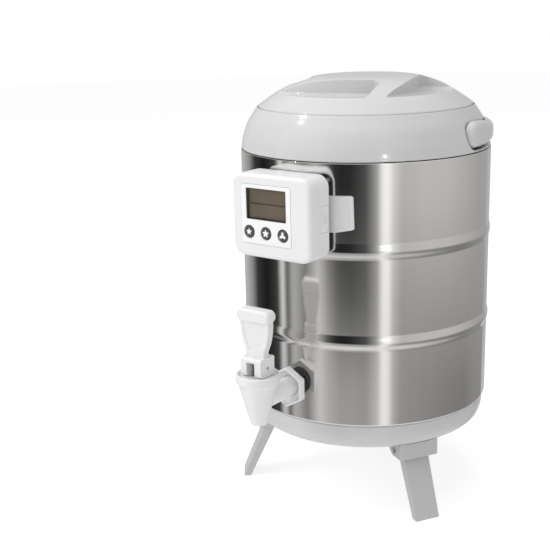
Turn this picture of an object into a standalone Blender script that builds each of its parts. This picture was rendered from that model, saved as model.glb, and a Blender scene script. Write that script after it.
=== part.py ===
"""Insulated drinks barrel on three fold-out legs, with a dispensing tap, a turn-and-lift lid,
a swinging carrying handle and a battery-powered temperature display.

Metres, +Z up.  The floor is z = 0.  The front, where the tap is, faces -Y.  Everything hangs on one
empty that stands on the barrel's axis, so all sizes below are measured from that axis.
"""
import math

import bmesh
import bpy
from mathutils import Matrix, Vector

# ---------------------------------------------------------------- driving dimensions
AXIS_Y = 0.037            # the barrel's axis lies this far behind the middle of the whole object
RING_STEPS = 40           # sides of the large turned rings
GAP = 0.0003              # clearance between pieces that touch

SHELL_RADIUS = 0.130
SHELL_INNER = 0.1290
SHELL_LOW = 0.1032
SHELL_HIGH = 0.3682
BEAD_HEIGHTS = (0.1910, 0.2830)     # centres of the two pressed beads
BEAD_TALL = 0.015
BEAD_PROUD = 0.0013

LINER_RADIUS = 0.1032
LINER_WALL = 0.0008
LINER_FLOOR = 0.1191
LINER_TOP = 0.4027

LID_STEP = 0.1113         # radius of the rebate in the collar that takes the lid
LID_SEAT = 0.4090
LID_EDGE = 0.1108
SCOOP_FLOOR = 0.4250
SCOOP_COUNT = 4

BAIL_PIVOT_Z = 0.3858
BAIL_INNER = 0.1228
BAIL_OUTER = 0.1317
BAIL_HALF = 0.0130        # half the height of the band, and the radius of its round ends
BAIL_DROP = 0.0045        # how much lower the band's upper edge runs behind its ends
BAIL_ROOM = 0.0015        # room for the band in the collar's pocket
POCKET_SHIFT = 0.0008     # the pocket's round end lies this much lower and further forward
POCKET_FLOOR = 0.1210

LEG_AZIMUTHS = (60.0, -51.3, 183.0)  # degrees round from the front, towards +X
LEG_PIVOT_OUT = 0.1053
LEG_PIVOT_Z = 0.0680
LEG_WIDE = 0.0292
LEG_FOOT_WIDE = 0.0275
BRACKET_WIDE = 0.0430
BRACKET_TOP = 0.0762
BRACKET_LOW = 0.0608
BRACKET_FRONT = 0.1195
BRACKET_BACK = 0.0940
CHEEK = 0.0060            # thickness of a bracket's cheek
BRACKET_SCREW_OUT = 0.1100

TAP_Z = 0.1433            # height of the tap's shank
TAP_REACH = 0.1907        # distance of the tap's upright axis from the barrel's axis
SPOUT_LOW = 0.1205
SPOUT_HIGH = 0.1724
VALVE_SEAT = 0.1340
BONNET_TOP = 0.1700
CAM_ARM = 0.0090          # distance of the lever's pin above the bonnet
CAM_RISE = 0.0040         # lift of the pin for each radian of lever
LEVER_TILT = math.radians(40)
LEVER_PIN_Z = BONNET_TOP + GAP + CAM_ARM
LEVER_HALF_WIDE = 0.0125

DISPLAY_WIDE = 0.092
DISPLAY_TALL = 0.081
DISPLAY_Z = 0.3190
DISPLAY_FRONT = -0.1650
DISPLAY_SPLIT = -0.1490
DISPLAY_BACK = -0.1328
DISPLAY_WALL = 0.0023
DISPLAY_CORNER = 0.011
PANEL_CENTRE = (-0.0055, 0.3210)
PANEL_SIZE = (0.0590, 0.0576)
WINDOW_CENTRE = (-0.0050, 0.3310)
WINDOW_SIZE = (0.0466, 0.0296)
BUTTON_XS = (-0.0254, -0.0054, 0.0146)
BUTTON_Z = 0.3035
BUTTON_RADIUS = 0.0062
SCREW_CORNER = (0.038, 0.0325)      # case screws from the middle of the display
BATTERY_RADIUS = 0.0052
BATTERY_ZS = (0.3130, 0.3242)
BATTERY_Y = -0.1420
DOOR_LOW = (-0.1474, 0.3060)        # y and z of the battery door's lower front corner
DOOR_HIGH = (-0.1352, 0.3310)
STRAP_INNER = 0.1303
STRAP_OUTER = 0.1323
STRAP_HALF_WIDE = 0.0617
STRAP_Z = (0.3025, 0.3375)
# Shank and head, as (radius, distance in front of the barrel's axis).
CASE_SCREW_PROFILE = ((0.0, 0.1470), (0.0012, 0.1470), (0.0012, 0.1325), (0.0023, 0.1325),
                      (0.0023, 0.1313), (0.0, 0.1313))
PROBE_X = -0.020
PROBE_Z = 0.3200
PROBE_RADIUS = 0.0025

SHARP_ANGLE = math.radians(35)

# name: (colour, roughness, metallic)
FINISHES = {
    "brushed_steel": ((0.62, 0.61, 0.60), 0.30, 1.0),
    "polished_steel": ((0.70, 0.70, 0.70), 0.18, 1.0),
    "grey_plastic": ((0.66, 0.66, 0.67), 0.28, 0.0),
    "satin_plastic": ((0.52, 0.51, 0.52), 0.42, 0.0),
    "white_plastic": ((0.82, 0.82, 0.82), 0.32, 0.0),
    "panel_white": ((0.90, 0.90, 0.90), 0.20, 0.0),
    "dark_plastic": ((0.06, 0.06, 0.065), 0.45, 0.0),
    "clear_plastic": ((0.80, 0.82, 0.82), 0.05, 0.0),
    "display_glass": ((0.20, 0.17, 0.14), 0.15, 0.0),
    "foam": ((0.86, 0.80, 0.60), 0.90, 0.0),
    "silicone": ((0.75, 0.75, 0.74), 0.60, 0.0),
    "dark_rubber": ((0.03, 0.03, 0.03), 0.65, 0.0),
    "board_green": ((0.03, 0.20, 0.09), 0.45, 0.0),
    "battery_cover": ((0.12, 0.12, 0.13), 0.35, 0.4),
    "zinc": ((0.60, 0.60, 0.62), 0.35, 1.0),
}


# ---------------------------------------------------------------- scene helpers
def clear_scene():
    for obj in list(bpy.data.objects):
        bpy.data.objects.remove(obj, do_unlink=True)


def make_collection(name):
    collection = bpy.data.collections.new(name)
    bpy.context.scene.collection.children.link(collection)
    return collection


def make_material(name, colour, roughness, metallic):
    material = bpy.data.materials.new(name)
    material.use_nodes = True
    shader = material.node_tree.nodes["Principled BSDF"]
    shader.inputs["Base Color"].default_value = (*colour, 1.0)
    shader.inputs["Roughness"].default_value = roughness
    shader.inputs["Metallic"].default_value = metallic
    return material


def make_empty(name, location, parent=None, turn=0.0):
    empty = bpy.data.objects.new(name, None)
    empty.location = location
    empty.rotation_euler = (0.0, 0.0, turn)
    empty.parent = parent
    PARTS.objects.link(empty)
    return empty


def add_object(name, mesh, finish, parent):
    """Link a mesh as a part, or as a hidden cutter when it has no finish."""
    obj = bpy.data.objects.new(name, mesh)
    obj.parent = parent
    if finish is None:
        CUTTERS.objects.link(obj)
        obj.hide_render = True
        obj.display_type = "WIRE"
        return obj
    PARTS.objects.link(obj)
    mesh.materials.append(make_material(name + "_" + finish, *FINISHES[finish]))
    return obj


def mesh_from(bm, name):
    mesh = bpy.data.meshes.new(name)
    bm.to_mesh(mesh)
    bm.free()
    return mesh


# ---------------------------------------------------------------- shapes
def block(name, low, high, finish=None, parent=None):
    bm = bmesh.new()
    bmesh.ops.create_cube(bm, size=1.0)
    size = Vector(high) - Vector(low)
    middle = (Vector(high) + Vector(low)) / 2
    bmesh.ops.transform(bm, matrix=Matrix.LocRotScale(middle, None, size), verts=bm.verts)
    return add_object(name, mesh_from(bm, name), finish, parent)


def cylinder(name, radius, start, end, finish=None, parent=None, sides=16):
    span = Vector(end) - Vector(start)
    bm = bmesh.new()
    bmesh.ops.create_cone(bm, cap_ends=True, segments=sides, radius1=radius, radius2=radius,
                          depth=span.length)
    aim = span.to_track_quat("Z", "Y").to_matrix().to_4x4()
    middle = Matrix.Translation((Vector(start) + Vector(end)) / 2)
    bmesh.ops.transform(bm, matrix=middle @ aim, verts=bm.verts)
    return add_object(name, mesh_from(bm, name), finish, parent)


def turned(name, profile, finish=None, parent=None, closed=False, steps=RING_STEPS):
    """Turn a profile of (radius, height) points about its own Z axis."""
    count = len(profile)
    edges = [(i, i + 1) for i in range(count - 1)]
    if closed:
        edges.append((count - 1, 0))
    mesh = bpy.data.meshes.new(name)
    mesh.from_pydata([(radius, 0.0, height) for radius, height in profile], edges, [])
    obj = add_object(name, mesh, finish, parent)
    screw = obj.modifiers.new("turn", "SCREW")
    screw.angle = 2 * math.pi
    screw.steps = steps
    screw.render_steps = steps
    screw.use_merge_vertices = True
    screw.merge_threshold = 0.00001
    return obj


def arc(centre, radius, start, end, count):
    """Points on an arc; the angles are degrees, counter-clockwise from the first axis."""
    points = []
    for i in range(count + 1):
        angle = math.radians(start + (end - start) * i / count)
        points.append((centre[0] + radius * math.cos(angle), centre[1] + radius * math.sin(angle)))
    return points


def rounded_rectangle(centre, size, radius, count=4):
    points = []
    for quarter in range(4):
        sign_u = (1, -1, -1, 1)[quarter]
        sign_v = (1, 1, -1, -1)[quarter]
        corner = (centre[0] + sign_u * (size[0] / 2 - radius), centre[1] + sign_v * (size[1] / 2 - radius))
        points += arc(corner, radius, 90 * quarter, 90 * quarter + 90, count)
    return points


# Where an outline's own axes u, v and its thickness w point.
FACING = {
    "X": Matrix(((0, 0, 1, 0), (1, 0, 0, 0), (0, 1, 0, 0), (0, 0, 0, 1))),     # u = Y, v = Z
    "Y": Matrix(((1, 0, 0, 0), (0, 0, -1, 0), (0, 1, 0, 0), (0, 0, 0, 1))),    # u = X, v = Z, w = -Y
    "Z": Matrix.Identity(4),                                                   # u = X, v = Y
}


def outline_mesh(name, outline, low, high, facing):
    """Fill a flat outline, thicken it from low to high along the facing axis, and weld its caps."""
    curve = bpy.data.curves.new(name, "CURVE")
    curve.dimensions = "2D"
    curve.fill_mode = "BOTH"
    curve.extrude = (high - low) / 2
    spline = curve.splines.new("POLY")
    spline.points.add(len(outline) - 1)
    for point, (u, v) in zip(spline.points, outline):
        point.co = (u, v, 0.0, 1.0)
    spline.use_cyclic_u = True
    guide = bpy.data.objects.new(name + "_outline", curve)
    CUTTERS.objects.link(guide)
    bpy.context.view_layer.update()
    depsgraph = bpy.context.evaluated_depsgraph_get()
    mesh = bpy.data.meshes.new_from_object(guide.evaluated_get(depsgraph))
    mesh.name = name
    bpy.data.objects.remove(guide, do_unlink=True)
    bm = bmesh.new()
    bm.from_mesh(mesh)
    bmesh.ops.remove_doubles(bm, verts=bm.verts, dist=0.00001)
    middle = (low + high) / 2
    if facing == "Y":
        middle = -middle
    place = FACING[facing] @ Matrix.Translation((0.0, 0.0, middle))
    bmesh.ops.transform(bm, matrix=place, verts=bm.verts)
    bmesh.ops.recalc_face_normals(bm, faces=bm.faces)
    bm.to_mesh(mesh)
    bm.free()
    return mesh


def prism(name, outline, low, high, facing, finish=None, parent=None):
    return add_object(name, outline_mesh(name, outline, low, high, facing), finish, parent)


def soften(obj, axis, level, width, segments=2):
    """Bevel the rim edges of an object that all lie at one level along an axis."""
    bm = bmesh.new()
    bm.from_mesh(obj.data)
    rim = [edge for edge in bm.edges
           if all(abs(vert.co[axis] - level) < 0.00001 for vert in edge.verts)
           and edge.calc_face_angle(0.0) > 1.0]
    bmesh.ops.bevel(bm, geom=rim, offset=width, segments=segments, affect="EDGES", profile=0.5)
    bm.to_mesh(obj.data)
    bm.free()


def combine(obj, other, operation="DIFFERENCE"):
    modifier = obj.modifiers.new(operation.lower(), "BOOLEAN")
    modifier.operation = operation
    modifier.solver = "EXACT"
    modifier.object = other


def cut_all(obj, cutters):
    for cutter in cutters:
        combine(obj, cutter)


def apply_modifiers(collection):
    """Turn every modified part into its finished mesh, smooth where it is round."""
    bpy.context.view_layer.update()
    depsgraph = bpy.context.evaluated_depsgraph_get()
    parts = [obj for obj in collection.objects if obj.type == "MESH"]
    finished = {obj: bpy.data.meshes.new_from_object(obj.evaluated_get(depsgraph)) for obj in parts}
    for obj, mesh in finished.items():
        obj.modifiers.clear()
        obj.data = mesh
        mesh.name = obj.name
        mesh.shade_smooth()
        mesh.set_sharp_from_angle(angle=SHARP_ANGLE)


# ---------------------------------------------------------------- barrel
def bead_profile():
    """The two outward beads on the shell's outer side, from the upper one down."""
    points = []
    for middle in sorted(BEAD_HEIGHTS, reverse=True):
        for step in (0.5, 0.3, 0.0, -0.3, -0.5):
            rise = BEAD_PROUD * math.cos(math.pi * step)
            points.append((SHELL_RADIUS + rise, middle + BEAD_TALL * step))
    return points


def build_barrel():
    outer = [(0.1296, SHELL_HIGH), (SHELL_RADIUS, SHELL_HIGH - 0.0010)] + bead_profile()
    outer += [(SHELL_RADIUS, SHELL_LOW + 0.0030), (0.1290, SHELL_LOW + 0.0006), (0.1275, SHELL_LOW)]
    inner = [(0.1275, SHELL_LOW + 0.0009), (0.1285, SHELL_LOW + 0.0014),
             (SHELL_INNER, SHELL_LOW + 0.0035), (SHELL_INNER, SHELL_HIGH)]
    shell = turned("outer_shell", outer + inner, "brushed_steel", BARREL, closed=True)

    wall = LINER_RADIUS + LINER_WALL
    low = LINER_FLOOR - LINER_WALL
    liner = turned("inner_liner", [
        (0.0, LINER_FLOOR), (0.1000, LINER_FLOOR), (LINER_RADIUS, LINER_FLOOR + 0.0032),
        (LINER_RADIUS, LINER_TOP), (0.1080, LINER_TOP), (0.1080, LINER_TOP - LINER_WALL),
        (wall, LINER_TOP - LINER_WALL), (wall, low + 0.0036), (0.1004, low), (0.0, low)],
        "polished_steel", BARREL)

    foam = turned("foam_jacket", [
        (0.0, low - GAP), (wall + GAP, low - GAP), (wall + GAP, 0.3670), (0.1283, 0.3670),
        (0.1283, SHELL_LOW + 0.0020), (0.1228, SHELL_LOW + 0.0020), (0.1219, 0.0965), (0.1205, 0.0900),
        (0.1165, 0.0845),
        (0.0, 0.0845)], "foam", BARREL)

    shank_hole = cylinder("shank_hole", 0.0104, (0, -0.15, TAP_Z), (0, -0.08, TAP_Z), parent=BARREL,
                          sides=24)
    probe_hole = cylinder("probe_hole", PROBE_RADIUS + GAP, (PROBE_X, -0.15, PROBE_Z),
                          (PROBE_X, -0.08, PROBE_Z), parent=BARREL, sides=12)
    for wall_piece in (shell, liner, foam):
        cut_all(wall_piece, (shank_hole, probe_hole))
    return probe_hole


def build_base():
    """The moulded dish that closes the bottom and carries the legs."""
    return turned("base_dish", [
        (0.0, 0.0800), (0.1150, 0.0800), (0.1195, 0.0835), (0.1225, 0.0885), (0.1236, 0.0965),
        (0.1236, SHELL_LOW - GAP), (0.1272, SHELL_LOW - GAP), (0.1272, 0.0950), (0.1262, 0.0878),
        (0.1230, 0.0810),
        (0.1170, 0.0765), (0.0, 0.0765)], "grey_plastic", BARREL)


# ---------------------------------------------------------------- collar and carrying handle
def handle_outline(radius, shift=0.0):
    """Side view of the space that the handle's band fills: round at its pivot, open to the rear."""
    middle = BAIL_PIVOT_Z - shift
    points = arc((-shift, middle), radius, 270, 90, 12)
    return points + [(0.15, middle + radius), (0.15, middle - radius)]


def build_collar_and_handle():
    collar = turned("collar", [
        (0.1118, 0.4112), (0.1150, 0.4068), (0.1222, 0.3955), (0.1274, 0.3815), (0.1293, 0.3700),
        (0.1290, 0.3688), (0.1048, 0.3688), (0.1048, 0.4016), (0.1085, 0.4016), (0.1085, LID_SEAT),
        (LID_STEP, LID_SEAT), (LID_STEP, 0.4112)], "grey_plastic", BARREL, closed=True)

    room = BAIL_HALF + BAIL_ROOM
    middle = BAIL_PIVOT_Z - POCKET_SHIFT
    pocket = turned("pocket_ring", [
        (0.150, middle + room), (0.150, middle - room),
        (POCKET_FLOOR, middle - room), (POCKET_FLOOR, middle + room)],
        parent=BARREL, closed=True)
    pocket_side = prism("pocket_side", handle_outline(room + 0.00001, POCKET_SHIFT), -0.16, 0.16, "X",
                        parent=BARREL)
    combine(pocket, pocket_side, "INTERSECT")

    handle = turned("bail_handle", [
        (BAIL_OUTER - 0.0066, BAIL_PIVOT_Z + BAIL_HALF),
        (BAIL_OUTER - 0.0021, BAIL_PIVOT_Z + BAIL_HALF - 0.0034),
        (BAIL_OUTER, BAIL_PIVOT_Z + BAIL_HALF - 0.0085), (BAIL_OUTER, BAIL_PIVOT_Z - BAIL_HALF + 0.0085),
        (BAIL_OUTER - 0.0021, BAIL_PIVOT_Z - BAIL_HALF + 0.0034),
        (BAIL_OUTER - 0.0066, BAIL_PIVOT_Z - BAIL_HALF),
        (BAIL_INNER + 0.0014, BAIL_PIVOT_Z - BAIL_HALF), (BAIL_INNER, BAIL_PIVOT_Z - BAIL_HALF + 0.0022),
        (BAIL_INNER, BAIL_PIVOT_Z + BAIL_HALF - 0.0022), (BAIL_INNER + 0.0014, BAIL_PIVOT_Z + BAIL_HALF)],
        "grey_plastic", BARREL, closed=True)
    round_end = arc((0.0, BAIL_PIVOT_Z), BAIL_HALF + 0.00001, 270, 90, 12)
    band_side = prism("band_side", round_end + [
        (0.0150, BAIL_PIVOT_Z + BAIL_HALF - 0.0008), (0.0450, BAIL_PIVOT_Z + BAIL_HALF - BAIL_DROP + 0.0004),
        (0.0650, BAIL_PIVOT_Z + BAIL_HALF - BAIL_DROP), (0.15, BAIL_PIVOT_Z + BAIL_HALF - BAIL_DROP),
        (0.15, BAIL_PIVOT_Z - BAIL_HALF - 0.00001)], -0.16, 0.16, "X", parent=BARREL)
    combine(handle, band_side, "INTERSECT")

    combine(collar, pocket)
    for side, label in ((1, "right"), (-1, "left")):
        start = (side * 0.1137, 0.0, BAIL_PIVOT_Z)
        end = (side * 0.1293, 0.0, BAIL_PIVOT_Z)
        hole = cylinder("handle_hole_" + label, 0.0038, start, end, parent=BARREL)
        cut_all(handle, (hole,))
        cut_all(collar, (hole,))
        cylinder("handle_pin_" + label, 0.0035, (side * 0.1140, 0.0, BAIL_PIVOT_Z),
                 (side * 0.1290, 0.0, BAIL_PIVOT_Z), "polished_steel", BARREL)


# ---------------------------------------------------------------- lid
def scoop_outline():
    """One finger scoop seen from above: a blade that widens from its tip to its blunt grip wall."""
    wall = [(-0.0660, -0.0640), (-0.0500, -0.0640), (-0.0320, -0.0640), (-0.0140, -0.0610),
            (0.0040, -0.0565), (0.0220, -0.0505), (0.0330, -0.0450)]
    corner = arc((0.0395, -0.0505), 0.0085, 105, 0, 4)
    outside = [(0.0500, -0.0660), (0.0490, -0.0780), (0.0520, -0.1000), (0.0, -0.1250),
               (-0.0900, -0.1000)]
    return wall + corner + outside


def build_lid():
    cover = turned("lid_cover", [
        (0.0, 0.4413), (0.0300, 0.4412), (0.0500, 0.4403), (0.0660, 0.4365), (0.0820, 0.4303),
        (0.0980, 0.4207), (0.1098, 0.4124), (LID_EDGE, 0.4112), (LID_EDGE, LID_SEAT + 0.0004),
        (0.0990, LID_SEAT + 0.0004), (0.0970, 0.4157), (0.0797, 0.4222), (0.0, 0.4222)],
        "grey_plastic", BARREL)
    for number in range(SCOOP_COUNT):
        scoop = prism(f"scoop_{number + 1}", scoop_outline(), SCOOP_FLOOR, 0.460, "Z", parent=BARREL)
        scoop.rotation_euler.z = 2 * math.pi * number / SCOOP_COUNT
        combine(cover, scoop)

    turned("lid_foam", [
        (0.0, 0.4219), (0.0795, 0.4219), (0.0966, 0.4155), (0.0978, 0.4120), (0.0979, 0.3752),
        (0.0, 0.3752)], "foam", BARREL)
    turned("lid_plug", [
        (0.0, 0.3748), (0.0982, 0.3748), (0.0982, 0.4091), (0.1078, 0.4091), (0.1078, 0.4066),
        (0.1010, 0.4066), (0.1010, 0.3740), (0.0992, 0.3722), (0.0, 0.3722)],
        "white_plastic", BARREL)
    turned("lid_seal", [
        (0.1077, 0.4063), (0.1077, 0.4030), (0.1013, 0.4030), (0.1013, 0.4063)],
        "silicone", BARREL, closed=True)


# ---------------------------------------------------------------- legs
def leg_outline():
    """Side view about the pivot: u points inwards, v up."""
    top = [(-x, y) for x, y in arc((0.0, 0.0), 0.0053, 10, 158, 6)]
    return [(-0.0327, -LEG_PIVOT_Z), (-0.0068, -0.0052)] + top + [(0.0050, -0.0050), (-0.0252, -LEG_PIVOT_Z)]


def bracket_outline():
    """Side view of a bracket about the leg's pivot: u points inwards, v up."""
    front = LEG_PIVOT_OUT - BRACKET_FRONT
    back = LEG_PIVOT_OUT - BRACKET_BACK
    top = BRACKET_TOP - LEG_PIVOT_Z
    low = BRACKET_LOW - LEG_PIVOT_Z
    # The front corner follows the underside of the dish, which turns up there.
    return [(front + 0.0029, top), (front, top + 0.0019), (front, low), (back - 0.0070, low),
            (back - 0.0005, low + 0.0057), (back, top)]


def build_leg(number, azimuth, base):
    angle = math.radians(azimuth)
    place = (LEG_PIVOT_OUT * math.sin(angle), -LEG_PIVOT_OUT * math.cos(angle), LEG_PIVOT_Z)
    pivot = make_empty(f"leg_pivot_{number}", place, BARREL, angle)

    leg = prism(f"leg_{number}", leg_outline(), -LEG_WIDE / 2, LEG_WIDE / 2, "X", "satin_plastic", pivot)
    for vert in leg.data.vertices:
        share = min(0.0, vert.co.z) / -LEG_PIVOT_Z
        vert.co.x *= 1 + share * (LEG_FOOT_WIDE / LEG_WIDE - 1)

    bracket = prism(f"leg_bracket_{number}", bracket_outline(), -BRACKET_WIDE / 2, BRACKET_WIDE / 2,
                    "X", "satin_plastic", pivot)
    inside = BRACKET_WIDE / 2 - CHEEK
    front_wall = LEG_PIVOT_OUT - BRACKET_FRONT + 0.0035
    channel = block(f"channel_{number}", (-inside, front_wall, -0.02),
                    (inside, 0.03, BRACKET_TOP - LEG_PIVOT_Z - 0.0010), parent=pivot)
    combine(bracket, channel)

    pin_hole = cylinder(f"leg_pin_hole_{number}", 0.0025, (-0.03, 0, 0), (0.03, 0, 0), parent=pivot,
                        sides=12)
    combine(bracket, pin_hole)
    combine(leg, pin_hole)
    cylinder(f"leg_pin_{number}", 0.0022, (-0.0186, 0, 0), (0.0186, 0, 0), "polished_steel", pivot,
             sides=12)

    screw_y = LEG_PIVOT_OUT - BRACKET_SCREW_OUT
    top = 0.0803 - LEG_PIVOT_Z
    for side, label in ((1, "a"), (-1, "b")):
        x = side * (BRACKET_WIDE - CHEEK) / 2
        hole = cylinder(f"bracket_hole_{number}{label}", 0.0018, (x, screw_y, 0.0010),
                        (x, screw_y, 0.02), parent=pivot, sides=10)
        combine(bracket, hole)
        combine(base, hole)
        screw = turned(f"bracket_screw_{number}{label}", [
            (0.0, top + 0.0020), (0.0022, top + 0.0020), (0.0029, top + 0.0008), (0.0029, top),
            (0.0015, top), (0.0015, 0.0013), (0.0, 0.0013)], "zinc", pivot, steps=10)
        screw.location = (x, screw_y, 0.0)


# ---------------------------------------------------------------- tap
def hexagon(radius, centre):
    """A hexagon standing on one of its points."""
    return [(centre[0] + radius * math.sin(math.pi * i / 3), centre[1] + radius * math.cos(math.pi * i / 3))
            for i in range(6)]


def build_tap_body(tap):
    body = turned("tap_body", [
        (0.0, SPOUT_HIGH - 0.0020), (0.0190, SPOUT_HIGH), (0.0205, SPOUT_HIGH), (0.0213, SPOUT_HIGH - 0.0010),
        (0.0211, SPOUT_HIGH - 0.0080), (0.0192, SPOUT_HIGH - 0.0105), (0.0088, SPOUT_LOW + 0.0012),
        (0.0080, SPOUT_LOW), (0.0, SPOUT_LOW)], "white_plastic", tap, steps=32)
    shank = cylinder("tap_shank", 0.0101, (0, 0.0110, TAP_Z), (0, TAP_REACH - 0.0890, TAP_Z), parent=tap,
                     sides=24)
    combine(body, shank, "UNION")
    hollows = (
        cylinder("bonnet_recess", 0.0188, (0, 0, SPOUT_HIGH - 0.0052), (0, 0, 0.19), parent=tap, sides=32),
        cylinder("valve_chamber", 0.0095, (0, 0, VALVE_SEAT), (0, 0, 0.19), parent=tap, sides=24),
        cylinder("spout_bore", 0.0056, (0, 0, 0.11), (0, 0, 0.14), parent=tap, sides=20),
        cylinder("shank_bore", 0.0062, (0, 0.004, TAP_Z), (0, 0.13, TAP_Z), parent=tap, sides=20),
    )
    cut_all(body, hollows)


def build_tap_fastening(tap):
    """Washers and nuts that clamp the shank through the wall; y runs back from the tap's axis."""
    def ring(name, outline, front, back, finish):
        piece = prism(name, outline, front, back, "Y", finish, BARREL)
        hole = cylinder(name + "_hole", 0.0104, (0, front - 0.01, TAP_Z), (0, back + 0.01, TAP_Z),
                        parent=BARREL, sides=24)
        combine(piece, hole)

    centre = (0.0, TAP_Z)
    ring("tap_nut", hexagon(0.0208, centre), -0.1475, -0.1400, "white_plastic")
    ring("tap_gasket_outer", arc(centre, 0.0140, 0, 337.5, 15), -0.1397, -0.1303, "dark_rubber")
    ring("tap_gasket_inner", arc(centre, 0.0150, 0, 337.5, 15), -0.1008, -0.0990, "dark_rubber")
    ring("tap_lock_nut", hexagon(0.0170, centre), -0.0987, -0.0917, "white_plastic")


def build_valve(tap):
    turned("tap_bonnet", [
        (0.0042, BONNET_TOP), (0.0172, BONNET_TOP), (0.0184, BONNET_TOP + 0.0016), (0.0184, 0.1675),
        (0.0092, 0.1675), (0.0092, 0.1600), (0.0042, 0.1600)], "white_plastic", tap, closed=True, steps=32)
    stem = cylinder("valve_stem", 0.0034, (0, 0, 0.1375), (0, 0, LEVER_PIN_Z + 0.0045), "dark_plastic",
                    tap)
    pin_hole = cylinder("stem_pin_hole", 0.0018, (-0.02, 0, LEVER_PIN_Z), (0.02, 0, LEVER_PIN_Z),
                        parent=tap, sides=12)
    combine(stem, pin_hole)
    turned("seat_cup", [
        (0.0, 0.1372), (0.0037, 0.1372), (0.0037, 0.1402), (0.0060, 0.1402), (0.0076, 0.1385),
        (0.0076, VALVE_SEAT + GAP), (0.0, VALVE_SEAT + GAP)], "silicone", tap, steps=20)
    cylinder("lever_pin", 0.0015, (-0.0112, 0, LEVER_PIN_Z), (0.0112, 0, LEVER_PIN_Z), "polished_steel",
             tap, sides=12)
    return pin_hole


def lever_side():
    """Side view of the lever's foot about its pin: u points back, v up.

    The front edge is a cam.  Its support distance grows evenly with the tilt, so the pin rises
    in proportion while the lever is pulled forward.
    """
    points = [(0.0110, 0.0095), (0.0110, -0.0080), (0.0100, -CAM_ARM)]
    for step in range(7):
        tilt = LEVER_TILT * step / 6
        reach = CAM_ARM + CAM_RISE * tilt
        points.append((-reach * math.sin(tilt) - CAM_RISE * math.cos(tilt),
                       -reach * math.cos(tilt) + CAM_RISE * math.sin(tilt)))
    return points + [(-0.0110, -0.0050), (-0.0110, 0.0085), (-0.0090, 0.0105), (0.0090, 0.0110)]


def shield_outline():
    """Front view of the lever's shield, above the pin; u points right, v up."""
    right = [(0.0120, 0.0060), (0.0108, 0.0125), (0.0115, 0.0165), (0.0150, 0.0260), (0.0172, 0.0380),
             (0.0174, 0.0480)]
    return right + [(-u, v) for u, v in reversed(right)]


def build_lever(tap, pin_hole):
    pin = make_empty("lever_pivot", (0.0, 0.0, LEVER_PIN_Z), tap)
    lever = prism("tap_lever", lever_side(), -LEVER_HALF_WIDE, LEVER_HALF_WIDE, "X", "white_plastic", pin)
    shield = prism("lever_shield", shield_outline(), -0.0040, 0.0045, "Y", parent=pin)
    cap = prism("lever_cap", rounded_rectangle((0.0, 0.0512), (0.0390, 0.0125), 0.0060), -0.0072, 0.0068,
                "Y", parent=pin)
    soften(cap, 1, -0.0072, 0.0025)
    soften(cap, 1, 0.0068, 0.0025)
    recess = prism("shield_recess", [(0.0065, 0.0180), (0.0118, 0.0290), (0.0136, 0.0400),
                                     (0.0136, 0.0445), (-0.0136, 0.0445), (-0.0136, 0.0400),
                                     (-0.0118, 0.0290), (-0.0065, 0.0180)], -0.006, -0.0032, "Y",
                   parent=pin)
    slot = block("lever_slot", (-0.0048, -0.02, -0.02), (0.0048, 0.0068, 0.0061), parent=pin)
    combine(lever, shield, "UNION")
    combine(lever, cap, "UNION")
    cut_all(lever, (recess, slot, pin_hole))


# ---------------------------------------------------------------- temperature display
def display_prism(name, inset, front, back, finish=None):
    size = (DISPLAY_WIDE - 2 * inset, DISPLAY_TALL - 2 * inset)
    outline = rounded_rectangle((0.0, DISPLAY_Z), size, DISPLAY_CORNER - inset)
    return prism(name, outline, front, back, "Y", finish, BARREL)


def corner_points():
    return [(side * SCREW_CORNER[0], DISPLAY_Z + up * SCREW_CORNER[1]) for side in (-1, 1) for up in (-1, 1)]


def build_front_case():
    case = display_prism("display_front_case", 0.0, DISPLAY_FRONT, DISPLAY_SPLIT, "white_plastic")
    soften(case, 1, DISPLAY_FRONT, 0.003)
    combine(case, display_prism("front_pocket", DISPLAY_WALL, DISPLAY_FRONT + 0.0025, DISPLAY_SPLIT + 0.01))
    for number, (x, z) in enumerate(corner_points()):
        boss = cylinder(f"boss_{number + 1}", 0.0030, (x, DISPLAY_FRONT + 0.0015, z), (x, -0.1356, z),
                        parent=BARREL, sides=12)
        combine(case, boss, "UNION")
        pilot = cylinder(f"pilot_{number + 1}", 0.0015, (x, -0.1500, z), (x, -0.1200, z), parent=BARREL,
                         sides=10)
        combine(case, pilot)
    recess_size = (PANEL_SIZE[0] + 2 * GAP, PANEL_SIZE[1] + 2 * GAP)
    combine(case, prism("panel_recess", rounded_rectangle(PANEL_CENTRE, recess_size, 0.0033),
                        -0.17, DISPLAY_FRONT + 0.0009, "Y", parent=BARREL))
    combine(case, window_cutter("case_window"))
    for number, x in enumerate(BUTTON_XS):
        combine(case, button_hole(f"case_button_hole_{number + 1}", x))


def window_cutter(name):
    size = (WINDOW_SIZE[0] + 2 * GAP, WINDOW_SIZE[1] + 2 * GAP)
    return prism(name, rounded_rectangle(WINDOW_CENTRE, size, 0.0006, 1), -0.17, -0.16, "Y", parent=BARREL)


def button_hole(name, x):
    return cylinder(name, BUTTON_RADIUS + GAP, (x, -0.17, BUTTON_Z), (x, -0.16, BUTTON_Z), parent=BARREL,
                    sides=20)


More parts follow.
